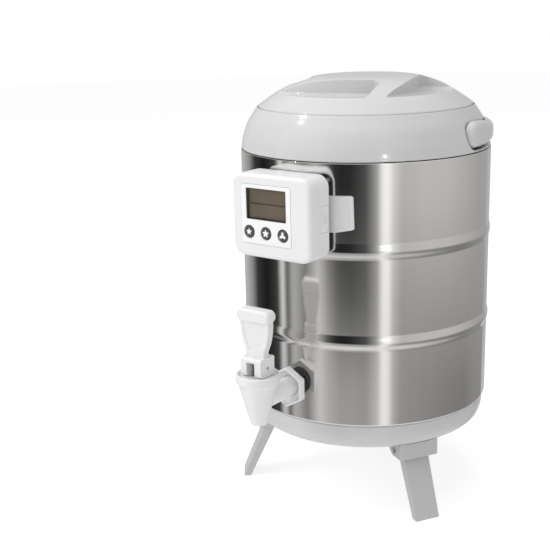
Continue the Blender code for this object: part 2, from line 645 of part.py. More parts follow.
def build_display_face():
    panel = prism("display_panel", rounded_rectangle(PANEL_CENTRE, PANEL_SIZE, 0.0030),
                  DISPLAY_FRONT - 0.0003, DISPLAY_FRONT + 0.0006, "Y", "panel_white", BARREL)
    combine(panel, window_cutter("panel_window"))
    for number, x in enumerate(BUTTON_XS):
        combine(panel, button_hole(f"panel_button_hole_{number + 1}", x))
        cylinder(f"button_{number + 1}", BUTTON_RADIUS, (x, -0.1660, BUTTON_Z), (x, -0.1575, BUTTON_Z),
                 "dark_plastic", BARREL, sides=20)
    prism("display_window", rounded_rectangle(WINDOW_CENTRE, WINDOW_SIZE, 0.0005, 1), -0.1649, -0.1632,
          "Y", "clear_plastic", BARREL)
    x, z = WINDOW_CENTRE
    block("lcd_module", (x - 0.025, -0.1621, z - 0.017), (x + 0.025, -0.1591, z + 0.017),
          "display_glass", BARREL)
    block("circuit_board", (-0.0340, -0.1560, DISPLAY_Z - 0.0300), (0.0340, -0.1544, DISPLAY_Z + 0.0300),
          "board_green", BARREL)


def build_back_case(probe_hole):
    case = display_prism("display_back_case", 0.0, DISPLAY_SPLIT + GAP, DISPLAY_BACK, "white_plastic")
    combine(case, display_prism("back_pocket", DISPLAY_WALL, DISPLAY_SPLIT - 0.01, DISPLAY_BACK - 0.0022))
    combine(case, probe_hole)
    edge = DISPLAY_WIDE / 2
    combine(case, block("door_opening", (edge - 0.005, DOOR_LOW[0] - GAP, DOOR_LOW[1] - GAP),
                        (edge + 0.005, DOOR_HIGH[0] + GAP, DOOR_HIGH[1] + GAP), parent=BARREL))
    block("battery_door", (edge - DISPLAY_WALL, DOOR_LOW[0], DOOR_LOW[1]), (edge, DOOR_HIGH[0], DOOR_HIGH[1]),
          "white_plastic", BARREL)
    for number, z in enumerate(BATTERY_ZS):
        cylinder(f"battery_{number + 1}", BATTERY_RADIUS, (-0.0010, BATTERY_Y, z), (0.0432, BATTERY_Y, z),
                 "battery_cover", BARREL, sides=14)
    for number, (x, z) in enumerate(corner_points()):
        hole = cylinder(f"case_screw_hole_{number + 1}", 0.0015, (x, -0.1360, z), (x, -0.1300, z),
                        parent=BARREL, sides=10)
        combine(case, hole)
        screw = turned(f"case_screw_{number + 1}", CASE_SCREW_PROFILE, "zinc", BARREL, steps=10)
        screw.rotation_euler.x = math.pi / 2
        screw.location = (x, 0.0, z)


def build_mounting(probe_hole):
    strap = turned("mounting_strap", [
        (STRAP_OUTER, STRAP_Z[1]), (STRAP_OUTER, STRAP_Z[0]), (STRAP_INNER, STRAP_Z[0]),
        (STRAP_INNER, STRAP_Z[1])], "white_plastic", BARREL, closed=True)
    keep = block("strap_span", (-STRAP_HALF_WIDE, -0.15, STRAP_Z[0] - 0.01),
                 (STRAP_HALF_WIDE, -0.05, STRAP_Z[1] + 0.01), parent=BARREL)
    combine(strap, keep, "INTERSECT")
    combine(strap, probe_hole)


def build_probe():
    probe = turned("temperature_probe", [
        (0.0, 0.1345), (PROBE_RADIUS, 0.1345), (PROBE_RADIUS, 0.0725), (0.0016, 0.0705), (0.0, 0.0700)],
        "polished_steel", BARREL, steps=12)
    probe.rotation_euler.x = math.pi / 2
    probe.location = (PROBE_X, 0.0, PROBE_Z)
    grommet = turned("probe_grommet", [
        (0.0066, 0.0988), (0.0066, 0.0978), (0.0050, 0.0966), (0.0028, 0.0966), (0.0028, 0.0988)],
        "silicone", BARREL, closed=True, steps=12)
    grommet.rotation_euler.x = math.pi / 2
    grommet.location = (PROBE_X, 0.0, PROBE_Z)
    build_probe_lead()


def build_probe_lead():
    """The short wire from the probe's end to the circuit board."""
    curve = bpy.data.curves.new("probe_lead", "CURVE")
    curve.dimensions = "3D"
    curve.bevel_depth = 0.0010
    curve.bevel_resolution = 2
    curve.use_fill_caps = True
    spline = curve.splines.new("POLY")
    count = 10
    spline.points.add(count)
    for i, point in enumerate(spline.points):
        share = i / count
        sway = 0.004 * (1 - math.cos(math.pi * share)) / 2
        point.co = (PROBE_X, -0.1348 - 0.0193 * share, PROBE_Z + sway, 1.0)
    guide = bpy.data.objects.new("probe_lead_route", curve)
    CUTTERS.objects.link(guide)
    bpy.context.view_layer.update()
    depsgraph = bpy.context.evaluated_depsgraph_get()
    mesh = bpy.data.meshes.new_from_object(guide.evaluated_get(depsgraph))
    bpy.data.objects.remove(guide, do_unlink=True)
    bm = bmesh.new()
    bm.from_mesh(mesh)
    bmesh.ops.remove_doubles(bm, verts=bm.verts, dist=0.00001)
    bmesh.ops.recalc_face_normals(bm, faces=bm.faces)
    bm.to_mesh(mesh)
    bm.free()
    mesh.materials.clear()
    add_object("probe_lead", mesh, "dark_rubber", BARREL)


# ---------------------------------------------------------------- assembly
clear_scene()
PARTS = make_collection("drinks_barrel")
CUTTERS = make_collection("cutters")
BARREL = make_empty("barrel_axis", (0.0, AXIS_Y, 0.0))
TAP = make_empty("tap_axis", (0.0, -TAP_REACH, 0.0), BARREL)

PROBE_HOLE = build_barrel()
BASE = build_base()
build_collar_and_handle()
build_lid()
for leg_number, leg_azimuth in enumerate(LEG_AZIMUTHS):
    build_leg(leg_number + 1, leg_azimuth, BASE)
build_tap_body(TAP)
build_tap_fastening(TAP)
build_lever(TAP, build_valve(TAP))
build_front_case()
build_display_face()
build_back_case(PROBE_HOLE)
build_mounting(PROBE_HOLE)
build_probe()
apply_modifiers(PARTS)
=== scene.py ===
"""Looks of the insulated drinks barrel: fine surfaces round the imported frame, materials, light, camera.

Metres, +Z up.  The floor is z = 0 and the tap faces -Y.  Turned pieces share the barrel's upright axis.
"""
import math

import bmesh
import bpy
from mathutils import Matrix, Vector


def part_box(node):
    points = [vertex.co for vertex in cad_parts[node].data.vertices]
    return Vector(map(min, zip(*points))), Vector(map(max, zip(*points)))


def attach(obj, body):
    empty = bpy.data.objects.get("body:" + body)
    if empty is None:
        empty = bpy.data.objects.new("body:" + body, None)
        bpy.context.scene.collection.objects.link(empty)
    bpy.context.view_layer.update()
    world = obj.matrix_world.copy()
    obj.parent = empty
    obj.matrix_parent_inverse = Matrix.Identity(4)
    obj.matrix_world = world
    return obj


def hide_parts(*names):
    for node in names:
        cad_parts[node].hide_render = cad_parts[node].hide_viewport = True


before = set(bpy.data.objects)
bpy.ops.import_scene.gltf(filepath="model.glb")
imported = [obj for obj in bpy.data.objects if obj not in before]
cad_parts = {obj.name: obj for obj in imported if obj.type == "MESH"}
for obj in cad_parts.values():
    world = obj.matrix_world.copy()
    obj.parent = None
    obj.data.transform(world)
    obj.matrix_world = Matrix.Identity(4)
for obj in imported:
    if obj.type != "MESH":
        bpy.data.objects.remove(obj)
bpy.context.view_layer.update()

STEPS = 192               # sides of a large turned piece
SMOOTH_ANGLE = math.radians(38)


def centre_of(node):
    low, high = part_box(node)
    return (low + high) / 2


AXIS_Y = centre_of("outer_shell").y
TAP = centre_of("tap_bonnet")
LEVER_PIN = centre_of("lever_pin")


# ---------------------------------------------------------------- meshes
def new_object(name, mesh):
    obj = bpy.data.objects.new(name, mesh)
    bpy.context.scene.collection.objects.link(obj)
    return obj


def from_bmesh(name, bm):
    bmesh.ops.recalc_face_normals(bm, faces=bm.faces)
    mesh = bpy.data.meshes.new(name)
    bm.to_mesh(mesh)
    bm.free()
    return new_object(name, mesh)


def turned(name, profile, closed=False, steps=STEPS, centre=None):
    """Turn (radius, height) points round an upright axis, the barrel's unless another is given."""
    middle = centre or Vector((0.0, AXIS_Y, 0.0))
    bm = bmesh.new()
    rows = []
    for radius, height in profile:
        count = steps if radius > 1e-6 else 1
        rows.append([bm.verts.new((middle.x + radius * math.cos(2 * math.pi * i / steps),
                                   middle.y + radius * math.sin(2 * math.pi * i / steps), height))
                     for i in range(count)])
    pairs = list(zip(rows, rows[1:]))
    if closed:
        pairs.append((rows[-1], rows[0]))
    for upper, lower in pairs:
        for i in range(steps):
            following = (i + 1) % steps
            corners = [upper[i % len(upper)], upper[following % len(upper)],
                       lower[following % len(lower)], lower[i % len(lower)]]
            bm.faces.new(dict.fromkeys(corners))
    return from_bmesh(name, bm)


def rounded(points, closed=False, step=10.0):
    """Replace each (u, v, radius) corner by an arc; a corner with no radius stays sharp."""
    made = []
    for i, point in enumerate(points):
        here = Vector(point[:2])
        radius = point[2] if len(point) > 2 else 0.0
        if not radius:
            made.append(tuple(here))
            continue
        to_last = (Vector(points[i - 1][:2]) - here).normalized()
        to_next = (Vector(points[(i + 1) % len(points)][:2]) - here).normalized()
        half = to_last.angle(to_next) / 2
        centre = here + (to_last + to_next).normalized() * radius / math.sin(half)
        start = here + to_last * radius / math.tan(half) - centre
        end = here + to_next * radius / math.tan(half) - centre
        first = math.atan2(start.y, start.x)
        turn = (math.atan2(end.y, end.x) - first + math.pi) % (2 * math.pi) - math.pi
        pieces = max(2, math.ceil(abs(math.degrees(turn)) / step))
        for k in range(pieces + 1):
            angle = first + turn * k / pieces
            made.append((centre.x + radius * math.cos(angle), centre.y + radius * math.sin(angle)))
    return made


def flow(points, per=6):
    """A smooth curve through the points, with so many steps between each two."""
    nodes = [Vector(point) for point in points]
    nodes = [2 * nodes[0] - nodes[1]] + nodes + [2 * nodes[-1] - nodes[-2]]
    made = []
    for i in range(1, len(nodes) - 2):
        before, start, end, after = nodes[i - 1:i + 3]
        for k in range(per):
            t = k / per
            spot = 0.5 * (2 * start + (end - before) * t + (2 * before - 5 * start + 4 * end - after) * t ** 2
                          + (3 * start - before - 3 * end + after) * t ** 3)
            made.append(tuple(spot))
    return made + [tuple(nodes[-2])]


def arc(centre, radius, start, end, count):
    """Points on an arc; degrees, counter-clockwise from the first axis."""
    return [(centre[0] + radius * math.cos(math.radians(start + (end - start) * i / count)),
             centre[1] + radius * math.sin(math.radians(start + (end - start) * i / count)))
            for i in range(count + 1)]


def box_outline(centre, size, radius, step=10.0):
    """A rectangle with rounded corners."""
    corners = [(centre[0] + su * size[0] / 2, centre[1] + sv * size[1] / 2, radius)
               for su, sv in ((1, 1), (-1, 1), (-1, -1), (1, -1))]
    return rounded(corners, closed=True, step=step)


# Where an outline's own axes u, v and its thickness w point.
FACING = {
    "X": Matrix(((0, 0, 1, 0), (1, 0, 0, 0), (0, 1, 0, 0), (0, 0, 0, 1))),     # u = Y, v = Z
    "Y": Matrix(((1, 0, 0, 0), (0, 0, 1, 0), (0, 1, 0, 0), (0, 0, 0, 1))),     # u = X, v = Z
    "Z": Matrix.Identity(4),                                                   # u = X, v = Y
}


def prism(name, outline, low, high, facing, round_low=0.0, round_high=0.0, segments=4, place=None):
    """An outline made thick from low to high along the facing axis, with rounded rims."""
    bm = bmesh.new()
    face = bm.faces.new([bm.verts.new((u, v, low)) for u, v in outline])
    grown = bmesh.ops.extrude_face_region(bm, geom=[face])["geom"]
    bmesh.ops.translate(bm, vec=(0.0, 0.0, high - low),
                        verts=[part for part in grown if isinstance(part, bmesh.types.BMVert)])
    for level, width in ((low, round_low), (high, round_high)):
        rim = [edge for edge in bm.edges if all(abs(vert.co.z - level) < 1e-6 for vert in edge.verts)]
        if width:
            bmesh.ops.bevel(bm, geom=rim, offset=width, segments=segments, affect="EDGES", profile=0.5)
    bmesh.ops.transform(bm, matrix=(place or Matrix.Identity(4)) @ FACING[facing], verts=bm.verts)
    return from_bmesh(name, bm)


def block(name, low, high):
    """A box between two corners."""
    outline = [(low[0], low[1]), (high[0], low[1]), (high[0], high[1]), (low[0], high[1])]
    return prism(name, outline, low[2], high[2], "Z")


def rod(name, radius, start, end, sides=48, chamfer=0.0):
    """A round bar from start to end, with its rims rounded off."""
    span = Vector(end) - Vector(start)
    place = Matrix.Translation(start) @ span.to_track_quat("Z", "Y").to_matrix().to_4x4()
    outline = arc((0.0, 0.0), radius, 0, 360 - 360 / sides, sides - 1)
    return prism(name, outline, 0.0, span.length, "Z", chamfer, chamfer, 3, place)


def face_front(obj, x, y, z):
    """Lay an upright turned object down, so that its height runs back from this place."""
    obj.data.transform(Matrix.Translation((x, y, z)) @ Matrix.Rotation(-math.pi / 2, 4, "X"))
    return obj


# ---------------------------------------------------------------- modifiers
def settle(obj):
    """Keep the modified mesh as the object's own."""
    bpy.context.view_layer.update()
    depsgraph = bpy.context.evaluated_depsgraph_get()
    mesh = bpy.data.meshes.new_from_object(obj.evaluated_get(depsgraph))
    obj.modifiers.clear()
    obj.data = mesh
    return obj


def combine(obj, others, operation="DIFFERENCE"):
    """Cut the others out of an object, or join or intersect them with it; the others are used up."""
    for other in others:
        modifier = obj.modifiers.new("combine", "BOOLEAN")
        modifier.operation = operation
        modifier.solver = "EXACT"
        modifier.object = other
    settle(obj)
    for other in others:
        bpy.data.objects.remove(other)


def ease(obj, width, segments=2, angle=38.0):
    """Round off the edges that are sharper than an angle."""
    modifier = obj.modifiers.new("ease", "BEVEL")
    modifier.width = width
    modifier.segments = segments
    modifier.limit_method = "ANGLE"
    modifier.angle_limit = math.radians(angle)
    modifier.miter_outer = "MITER_ARC"
    return settle(obj)


def piece(obj, body, finish, *nodes):
    """Finish an object's surface and make it ride on a body in place of these CAD nodes."""
    obj.data.materials.clear()
    obj.data.materials.append(MATERIALS[finish])
    obj.data.shade_smooth()
    obj.data.set_sharp_from_angle(angle=SMOOTH_ANGLE)
    normals = obj.modifiers.new("even_normals", "WEIGHTED_NORMAL")
    normals.keep_sharp = True
    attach(obj, body)
    if nodes:
        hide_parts(*nodes)


# ---------------------------------------------------------------- materials
def new_material(name):
    material = bpy.data.materials.new(name)
    material.use_nodes = True
    return material, material.node_tree, material.node_tree.nodes["Principled BSDF"]


def add_node(tree, kind, **settings):
    node = tree.nodes.new(kind)
    for key, value in settings.items():
        if key in node.inputs:
            node.inputs[key].default_value = value
        else:
            setattr(node, key, value)
    return node


def noise(tree, vector, scale, detail=2.0):
    made = add_node(tree, "ShaderNodeTexNoise", Scale=scale, Detail=detail)
    tree.links.new(vector, made.inputs["Vector"])
    return made.outputs["Fac"]


def spread(tree, value, low, high, source_low=0.3, source_high=0.7):
    """Map a value from its source range, by default a noise's usual one, to low..high."""
    made = tree.nodes.new("ShaderNodeMapRange")
    for slot, number in enumerate((source_low, source_high, low, high), start=1):
        made.inputs[slot].default_value = number
    tree.links.new(value, made.inputs[0])
    return made.outputs[0]


def feed(tree, made, slot, source):
    """Give an input a number, a colour or another node's output."""
    if isinstance(source, (float, tuple)):
        made.inputs[slot].default_value = source
    else:
        tree.links.new(source, made.inputs[slot])


def calculate(tree, operation, first, second):
    made = add_node(tree, "ShaderNodeMath", operation=operation)
    feed(tree, made, 0, first)
    feed(tree, made, 1, second)
    return made.outputs[0]


def blend(tree, factor, first, second):
    """Mix two greys, colours or node outputs."""
    made = add_node(tree, "ShaderNodeMix", data_type="RGBA")
    tree.links.new(factor, made.inputs[0])
    for slot, source in ((6, first), (7, second)):
        if isinstance(source, float):
            source = (source, source, source)
        feed(tree, made, slot, (*source, 1.0) if isinstance(source, tuple) else source)
    return made.outputs[2]


def bump(tree, shader, height, distance):
    made = add_node(tree, "ShaderNodeBump", Distance=distance, Strength=1.0)
    tree.links.new(height, made.inputs["Height"])
    tree.links.new(made.outputs["Normal"], shader.inputs["Normal"])


def shade(colour, factor):
    return tuple(channel * factor for channel in colour)


def plastic(name, colour, roughness, grain, depth, mottle, metallic=0.0):
    """Moulded plastic or rubber: fine grain, slow shifts of tone, uneven gloss and rubbed edges."""
    material, tree, shader = new_material(name)
    place = tree.nodes.new("ShaderNodeTexCoord").outputs["Object"]
    tone = noise(tree, place, 22.0, 3.0)
    shifted = blend(tree, spread(tree, tone, 0.0, 1.0), shade(colour, 1 - mottle), shade(colour, 1 + mottle))
    edges = tree.nodes.new("ShaderNodeNewGeometry").outputs["Pointiness"]
    worn = tuple(min(1.0, channel * 1.12 + 0.02) for channel in colour)
    tree.links.new(blend(tree, spread(tree, edges, 0.0, 0.35, 0.52, 0.62), shifted, worn),
                   shader.inputs["Base Color"])
    gloss = noise(tree, place, 70.0, 4.0)
    tree.links.new(spread(tree, gloss, roughness * 0.85, roughness * 1.2), shader.inputs["Roughness"])
    bump(tree, shader, noise(tree, place, grain, 1.0), depth)
    shader.inputs["Metallic"].default_value = metallic
    return material


def around_barrel(tree, turns, climbs):
    """Coordinates that run round the barrel and up it, at their own scales."""
    place = tree.nodes.new("ShaderNodeTexCoord").outputs["Object"]
    split = tree.nodes.new("ShaderNodeSeparateXYZ")
    tree.links.new(place, split.inputs[0])
    back = calculate(tree, "SUBTRACT", split.outputs["Y"], AXIS_Y)
    angle = calculate(tree, "ARCTAN2", split.outputs["X"], back)
    joined = tree.nodes.new("ShaderNodeCombineXYZ")
    tree.links.new(calculate(tree, "MULTIPLY", angle, turns), joined.inputs[0])
    tree.links.new(calculate(tree, "MULTIPLY", split.outputs["Z"], climbs), joined.inputs[1])
    return joined.outputs[0]


def steel(name, colour, roughness, lines, streaks, depth):
    """Stainless sheet: fine brushing round the barrel, slow upright streaks in its gloss and tone."""
    material, tree, shader = new_material(name)
    brushing = noise(tree, around_barrel(tree, 3.0, lines), 1.0, 3.0)
    grooves = noise(tree, around_barrel(tree, 5.0, lines / 6), 1.0, 4.0)
    upright = noise(tree, around_barrel(tree, streaks, 3.0), 1.0, 5.0)
    both = calculate(tree, "ADD", spread(tree, upright, 0.0, 0.45), spread(tree, grooves, 0.0, 0.55))
    tree.links.new(blend(tree, both, shade(colour, 0.955), colour), shader.inputs["Base Color"])
    tree.links.new(spread(tree, grooves, roughness * 0.9, roughness * 1.15), shader.inputs["Roughness"])
    bump(tree, shader, brushing, depth)
    shader.inputs["Metallic"].default_value = 1.0
    return material


def clear_sheet(name):
    """A clear lens with faint smears."""
    material, tree, shader = new_material(name)
    place = tree.nodes.new("ShaderNodeTexCoord").outputs["Object"]
    tree.links.new(spread(tree, noise(tree, place, 60.0, 3.0), 0.03, 0.09), shader.inputs["Roughness"])
    shader.inputs["Base Color"].default_value = (0.95, 0.95, 0.93, 1.0)
    shader.inputs["Transmission Weight"].default_value = 1.0
    shader.inputs["IOR"].default_value = 1.2
    return material


def display_field(name, colour):
    """The unlit field of a liquid crystal: a faint grid of cells behind a slow drift of tone."""
    material, tree, shader = new_material(name)
    place = tree.nodes.new("ShaderNodeTexCoord").outputs["Object"]
    drift = spread(tree, noise(tree, place, 30.0, 2.0), 0.0, 1.0)
    tree.links.new(blend(tree, drift, shade(colour, 0.92), shade(colour, 1.08)), shader.inputs["Base Color"])
    cells = add_node(tree, "ShaderNodeTexVoronoi", Scale=1500.0)
    tree.links.new(place, cells.inputs["Vector"])
    bump(tree, shader, cells.outputs["Distance"], 0.00001)
    shader.inputs["Roughness"].default_value = 0.35
    return material


# Colour, roughness, grain per metre, grain depth, mottling and, for metals, how metallic it is.
PLASTICS = {
    "zinc": ((0.60, 0.60, 0.62), 0.35, 1400.0, 0.00002, 0.08, 1.0),
    "grey_plastic": ((0.65, 0.647, 0.651), 0.13, 700.0, 0.000005, 0.012),
    "satin_plastic": ((0.56, 0.555, 0.56), 0.38, 1500.0, 0.00003, 0.03),
    "white_plastic": ((0.86, 0.86, 0.86), 0.30, 1200.0, 0.00001, 0.012),
    "panel_white": ((0.92, 0.92, 0.92), 0.20, 1600.0, 0.000005, 0.008),
    "button_rubber": ((0.075, 0.078, 0.082), 0.55, 1800.0, 0.00003, 0.10),
    "dark_plastic": ((0.035, 0.034, 0.034), 0.45, 1500.0, 0.00003, 0.12),
    "foam": ((0.84, 0.77, 0.56), 0.92, 380.0, 0.0004, 0.10),
    "silicone": ((0.74, 0.74, 0.73), 0.60, 1000.0, 0.00003, 0.04),
    "dark_rubber": ((0.035, 0.035, 0.035), 0.68, 900.0, 0.00005, 0.15),
    "board_green": ((0.03, 0.19, 0.08), 0.42, 420.0, 0.00008, 0.25),
    "battery_cover": ((0.12, 0.12, 0.13), 0.35, 800.0, 0.00001, 0.15, 0.4),
}
MATERIALS = {name: plastic(name, *settings) for name, settings in PLASTICS.items()}
MATERIALS["brushed_steel"] = steel("brushed_steel", (0.91, 0.895, 0.885), 0.105, 5200.0, 21.0, 0.000001)
MATERIALS["polished_steel"] = steel("polished_steel", (0.80, 0.79, 0.78), 0.14, 2600.0, 20.0, 0.000001)
MATERIALS["clear_plastic"] = clear_sheet("clear_plastic")
MATERIALS["display_glass"] = display_field("display_glass", (0.188, 0.138, 0.092))

# CAD nodes whose shape is right as it is, mostly hidden inside, with their finishes.
CARRIED_OVER = {
    "foam_jacket": "foam", "lid_foam": "foam", "seat_cup": "silicone", "probe_grommet": "silicone",
    "tap_gasket_inner": "dark_rubber", "probe_lead": "dark_rubber", "tap_lock_nut": "white_plastic",
    "temperature_probe": "polished_steel", "circuit_board": "board_green",
    "battery_1": "battery_cover", "battery_2": "battery_cover",
}
for corner in range(1, 5):
    CARRIED_OVER[f"case_screw_{corner}"] = "zinc"
for leg in range(1, 4):
    CARRIED_OVER[f"bracket_screw_{leg}a"] = "zinc"
    CARRIED_OVER[f"bracket_screw_{leg}b"] = "zinc"


def dress_carried_over():
    for node, finish in CARRIED_OVER.items():
        for material_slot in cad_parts[node].material_slots:
            material_slot.material = MATERIALS[finish]


# ---------------------------------------------------------------- camera, floor, light
CAMERA_AZIMUTH = math.radians(32.6)    # round from the front, towards +X
CAMERA_OUT = 1.0996                    # distance from the barrel's axis
CAMERA_HEIGHT = 0.5214
CAMERA_PAN = math.radians(-5.10)       # how far it looks to the right of the axis
CAMERA_DIP = math.radians(14.96)       # how far it looks down
CAMERA_ROLL = -0.0247                  # radians
CAMERA_LENS = 68.4                     # millimetres on a 36 mm sensor


def build_camera():
    data = bpy.data.cameras.new("camera")
    data.sensor_width = 36.0
    data.lens = CAMERA_LENS
    data.clip_start = 0.05
    data.clip_end = 30.0
    camera = new_object("camera", data)
    bpy.context.scene.camera = camera
    across = Vector((math.cos(CAMERA_AZIMUTH), math.sin(CAMERA_AZIMUTH), 0.0))
    inwards = Vector((-math.sin(CAMERA_AZIMUTH), math.cos(CAMERA_AZIMUTH), 0.0))
    up = Vector((0.0, 0.0, 1.0))
    level = math.sin(CAMERA_PAN) * across + math.cos(CAMERA_PAN) * inwards
    side = math.cos(CAMERA_PAN) * across - math.sin(CAMERA_PAN) * inwards
    ahead = math.cos(CAMERA_DIP) * level - math.sin(CAMERA_DIP) * up
    top = math.sin(CAMERA_DIP) * level + math.cos(CAMERA_DIP) * up
    right = math.cos(CAMERA_ROLL) * side + math.sin(CAMERA_ROLL) * top
    head = -math.sin(CAMERA_ROLL) * side + math.cos(CAMERA_ROLL) * top
    camera.matrix_world = Matrix.Translation(
        Vector((0.0, AXIS_Y, CAMERA_HEIGHT)) - CAMERA_OUT * inwards) @ Matrix((
            (right.x, head.x, -ahead.x, 0), (right.y, head.y, -ahead.y, 0),
            (right.z, head.z, -ahead.z, 0), (0, 0, 0, 1)))


# The surroundings that the steel mirrors, as (azimuth in degrees, brightness level with the display,
# level with the tap, level with the base). Most of these numbers are greys read off the photograph's
# steel by a helper program, which turned them into mirrored directions; they were then rounded and
# adjusted by hand. report.md says so under "Rules not kept".
STUDIO = (
    (-180, 0.46, 0.42, 0.55), (-150, 0.50, 0.45, 0.50), (-119, 0.47, 0.47, 0.47), (-101, 0.30, 0.30, 0.30),
    (-89, 0.04, 0.04, 0.05), (-72, 0.01, 0.01, 0.02), (-56, 0.04, 0.04, 0.05), (-52, 0.50, 0.50, 0.50),
    (-50, 0.85, 0.80, 0.60), (-48, 0.50, 0.50, 0.50), (-44.5, 0.05, 0.05, 0.08), (-38, 0.43, 0.43, 0.45),
    (-32, 0.36, 0.36, 0.38), (-24, 0.19, 0.19, 0.20), (-11, 0.45, 0.60, 0.60), (-2, 0.10, 0.32, 0.45),
    (4, 0.03, 0.19, 0.40), (10, 0.014, 0.11, 0.36), (20, 0.02, 0.09, 0.36), (33.5, 0.07, 0.13, 0.34),
    (40, 0.24, 0.26, 0.46), (44, 0.40, 0.34, 0.53), (48, 0.93, 0.86, 0.90), (53, 1.05, 0.96, 0.88),
    (58, 0.70, 0.48, 0.44), (66, 0.50, 0.34, 0.30), (87, 0.55, 0.35, 0.27), (112, 0.53, 0.34, 0.23),
    (139, 0.44, 0.32, 0.20), (158, 0.38, 0.31, 0.26),
)
# Sines of elevations: where each column is mirrored, and where the floor and the ceiling take over.
STUDIO_HEIGHTS = (-0.18, -0.287, -0.36)
MIRRORED_FLOOR = (-0.52, -0.75)
MIRRORED_CEILING = (0.45, 0.85)
ROOM_LEFT, ROOM_RIGHT = 0.74, 0.48         # how bright the room is for matt surfaces


def azimuth_ramp(tree, azimuth, column):
    ramp = tree.nodes.new("ShaderNodeValToRGB")
    stops = ramp.color_ramp.elements
    while len(stops) < len(STUDIO):
        stops.new(0.5)
    for stop, row in zip(stops, STUDIO):
        stop.position = (row[0] + 180.0) / 360.0
        stop.color = (row[column], row[column], row[column] * 0.985, 1.0)
    tree.links.new(azimuth, ramp.inputs[0])
    return ramp.outputs[0]


def build_world():
    """Soft white room for matt surfaces; for mirrors, the studio's cards all the way round."""
    world = bpy.data.worlds.new("studio")
    bpy.context.scene.world = world
    world.use_nodes = True
    tree = world.node_tree
    tree.nodes.clear()
    split = tree.nodes.new("ShaderNodeSeparateXYZ")
    tree.links.new(tree.nodes.new("ShaderNodeTexCoord").outputs["Generated"], split.inputs[0])
    front = calculate(tree, "MULTIPLY", split.outputs["Y"], -1.0)
    angle = calculate(tree, "ARCTAN2", split.outputs["X"], front)
    azimuth = spread(tree, angle, 0.0, 1.0, -math.pi, math.pi)
    height = split.outputs["Z"]
    high, middle, low = STUDIO_HEIGHTS
    ramps = [azimuth_ramp(tree, azimuth, column) for column in (1, 2, 3)]
    cards = blend(tree, spread(tree, height, 0.0, 1.0, high, middle), ramps[0], ramps[1])
    cards = blend(tree, spread(tree, height, 0.0, 1.0, middle, low), cards, ramps[2])
    cards = blend(tree, spread(tree, height, 0.0, 1.0, *MIRRORED_FLOOR), cards, 0.80)
    cards = blend(tree, spread(tree, height, 0.0, 1.0, *MIRRORED_CEILING), cards, 1.0)
    paths = tree.nodes.new("ShaderNodeLightPath")
    sides = blend(tree, spread(tree, split.outputs["X"], 0.0, 1.0, -1.0, 1.0), ROOM_LEFT, ROOM_RIGHT)
    room = blend(tree, paths.outputs["Is Camera Ray"], sides, 1.0)
    seen = blend(tree, paths.outputs["Is Glossy Ray"], room, cards)
    background = tree.nodes.new("ShaderNodeBackground")
    output = tree.nodes.new("ShaderNodeOutputWorld")
    tree.links.new(seen, background.inputs["Color"])
    tree.links.new(background.outputs[0], output.inputs["Surface"])


def soft_light(name, place, aim, size, power, mirrored=False):
    data = bpy.data.lights.new(name, "AREA")
    data.shape = "DISK"
    data.size = size
    data.energy = power
    lamp = new_object(name, data)
    lamp.location = place
    lamp.rotation_mode = "QUATERNION"
    lamp.rotation_quaternion = (Vector(aim) - Vector(place)).to_track_quat("-Z", "Y")
    lamp.visible_glossy = mirrored
    lamp.visible_camera = False


FLOOR_GLOW = (0.45, 0.66)     # what the floor gives out to the object, and to the camera


def build_stage():
    """A pale floor that keeps out of mirrors, two soft lights, and two sparks for glossy plastic."""
    bm = bmesh.new()
    bmesh.ops.create_circle(bm, cap_ends=True, radius=6.0, segments=64)
    floor = from_bmesh("floor", bm)
    material, tree, shader = new_material("floor")
    shader.inputs["Base Color"].default_value = (0.50, 0.50, 0.50, 1.0)
    shader.inputs["Emission Color"].default_value = (1.0, 1.0, 1.0, 1.0)
    seen = tree.nodes.new("ShaderNodeLightPath").outputs["Is Camera Ray"]
    tree.links.new(spread(tree, seen, *FLOOR_GLOW, 0.0, 1.0), shader.inputs["Emission Strength"])
    shader.inputs["Roughness"].default_value = 0.9
    shader.inputs["Specular IOR Level"].default_value = 0.1
    floor.data.materials.append(material)
    floor.visible_glossy = False
    middle = (0.0, AXIS_Y, 0.25)
    soft_light("key", (-1.0, -1.5, 1.35), middle, 1.2, 13.0)
    soft_light("top", (0.0, 0.0, 2.2), middle, 1.6, 13.0)
    soft_light("window_spark", (-1.104, -0.837, 1.889), (0.0, AXIS_Y, 0.40), 0.12, 2.2, mirrored=True)
    soft_light("card_spark", (1.62, -1.329, 0.56), (0.0, AXIS_Y, 0.37), 0.09, 1.3, mirrored=True)
    bpy.context.scene.view_settings.view_transform = "Standard"


# ---------------------------------------------------------------- barrel
SHELL_RADIUS = 0.130
SHELL_INNER = 0.1290
SHELL_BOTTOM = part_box("outer_shell")[0].z
SHELL_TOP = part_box("outer_shell")[1].z
BEAD_HEIGHTS = (0.2830, 0.1910)
BEAD_TALL = 0.017
BEAD_PROUD = 0.0013
TAP_BORE_Z = 0.1433
SHANK_ROOM = 0.0104       # radius of the holes that the tap's shank passes through
PROBE = centre_of("temperature_probe")


def bead(middle, count=16):
    """One pressed bead, from the top down."""
    return [(SHELL_RADIUS + BEAD_PROUD * (0.5 + 0.5 * math.cos(2 * math.pi * (i / count - 0.5))),
             middle - BEAD_TALL * (i / count - 0.5)) for i in range(count + 1)]


def probe_hole(sides=32):
    return rod("probe_hole", 0.0028, (PROBE.x, -0.12, PROBE.z), (PROBE.x, -0.04, PROBE.z), sides)


def wall_holes():
    return [rod("shank_hole", SHANK_ROOM, (0.0, -0.12, TAP_BORE_Z), (0.0, -0.04, TAP_BORE_Z)), probe_hole(24)]


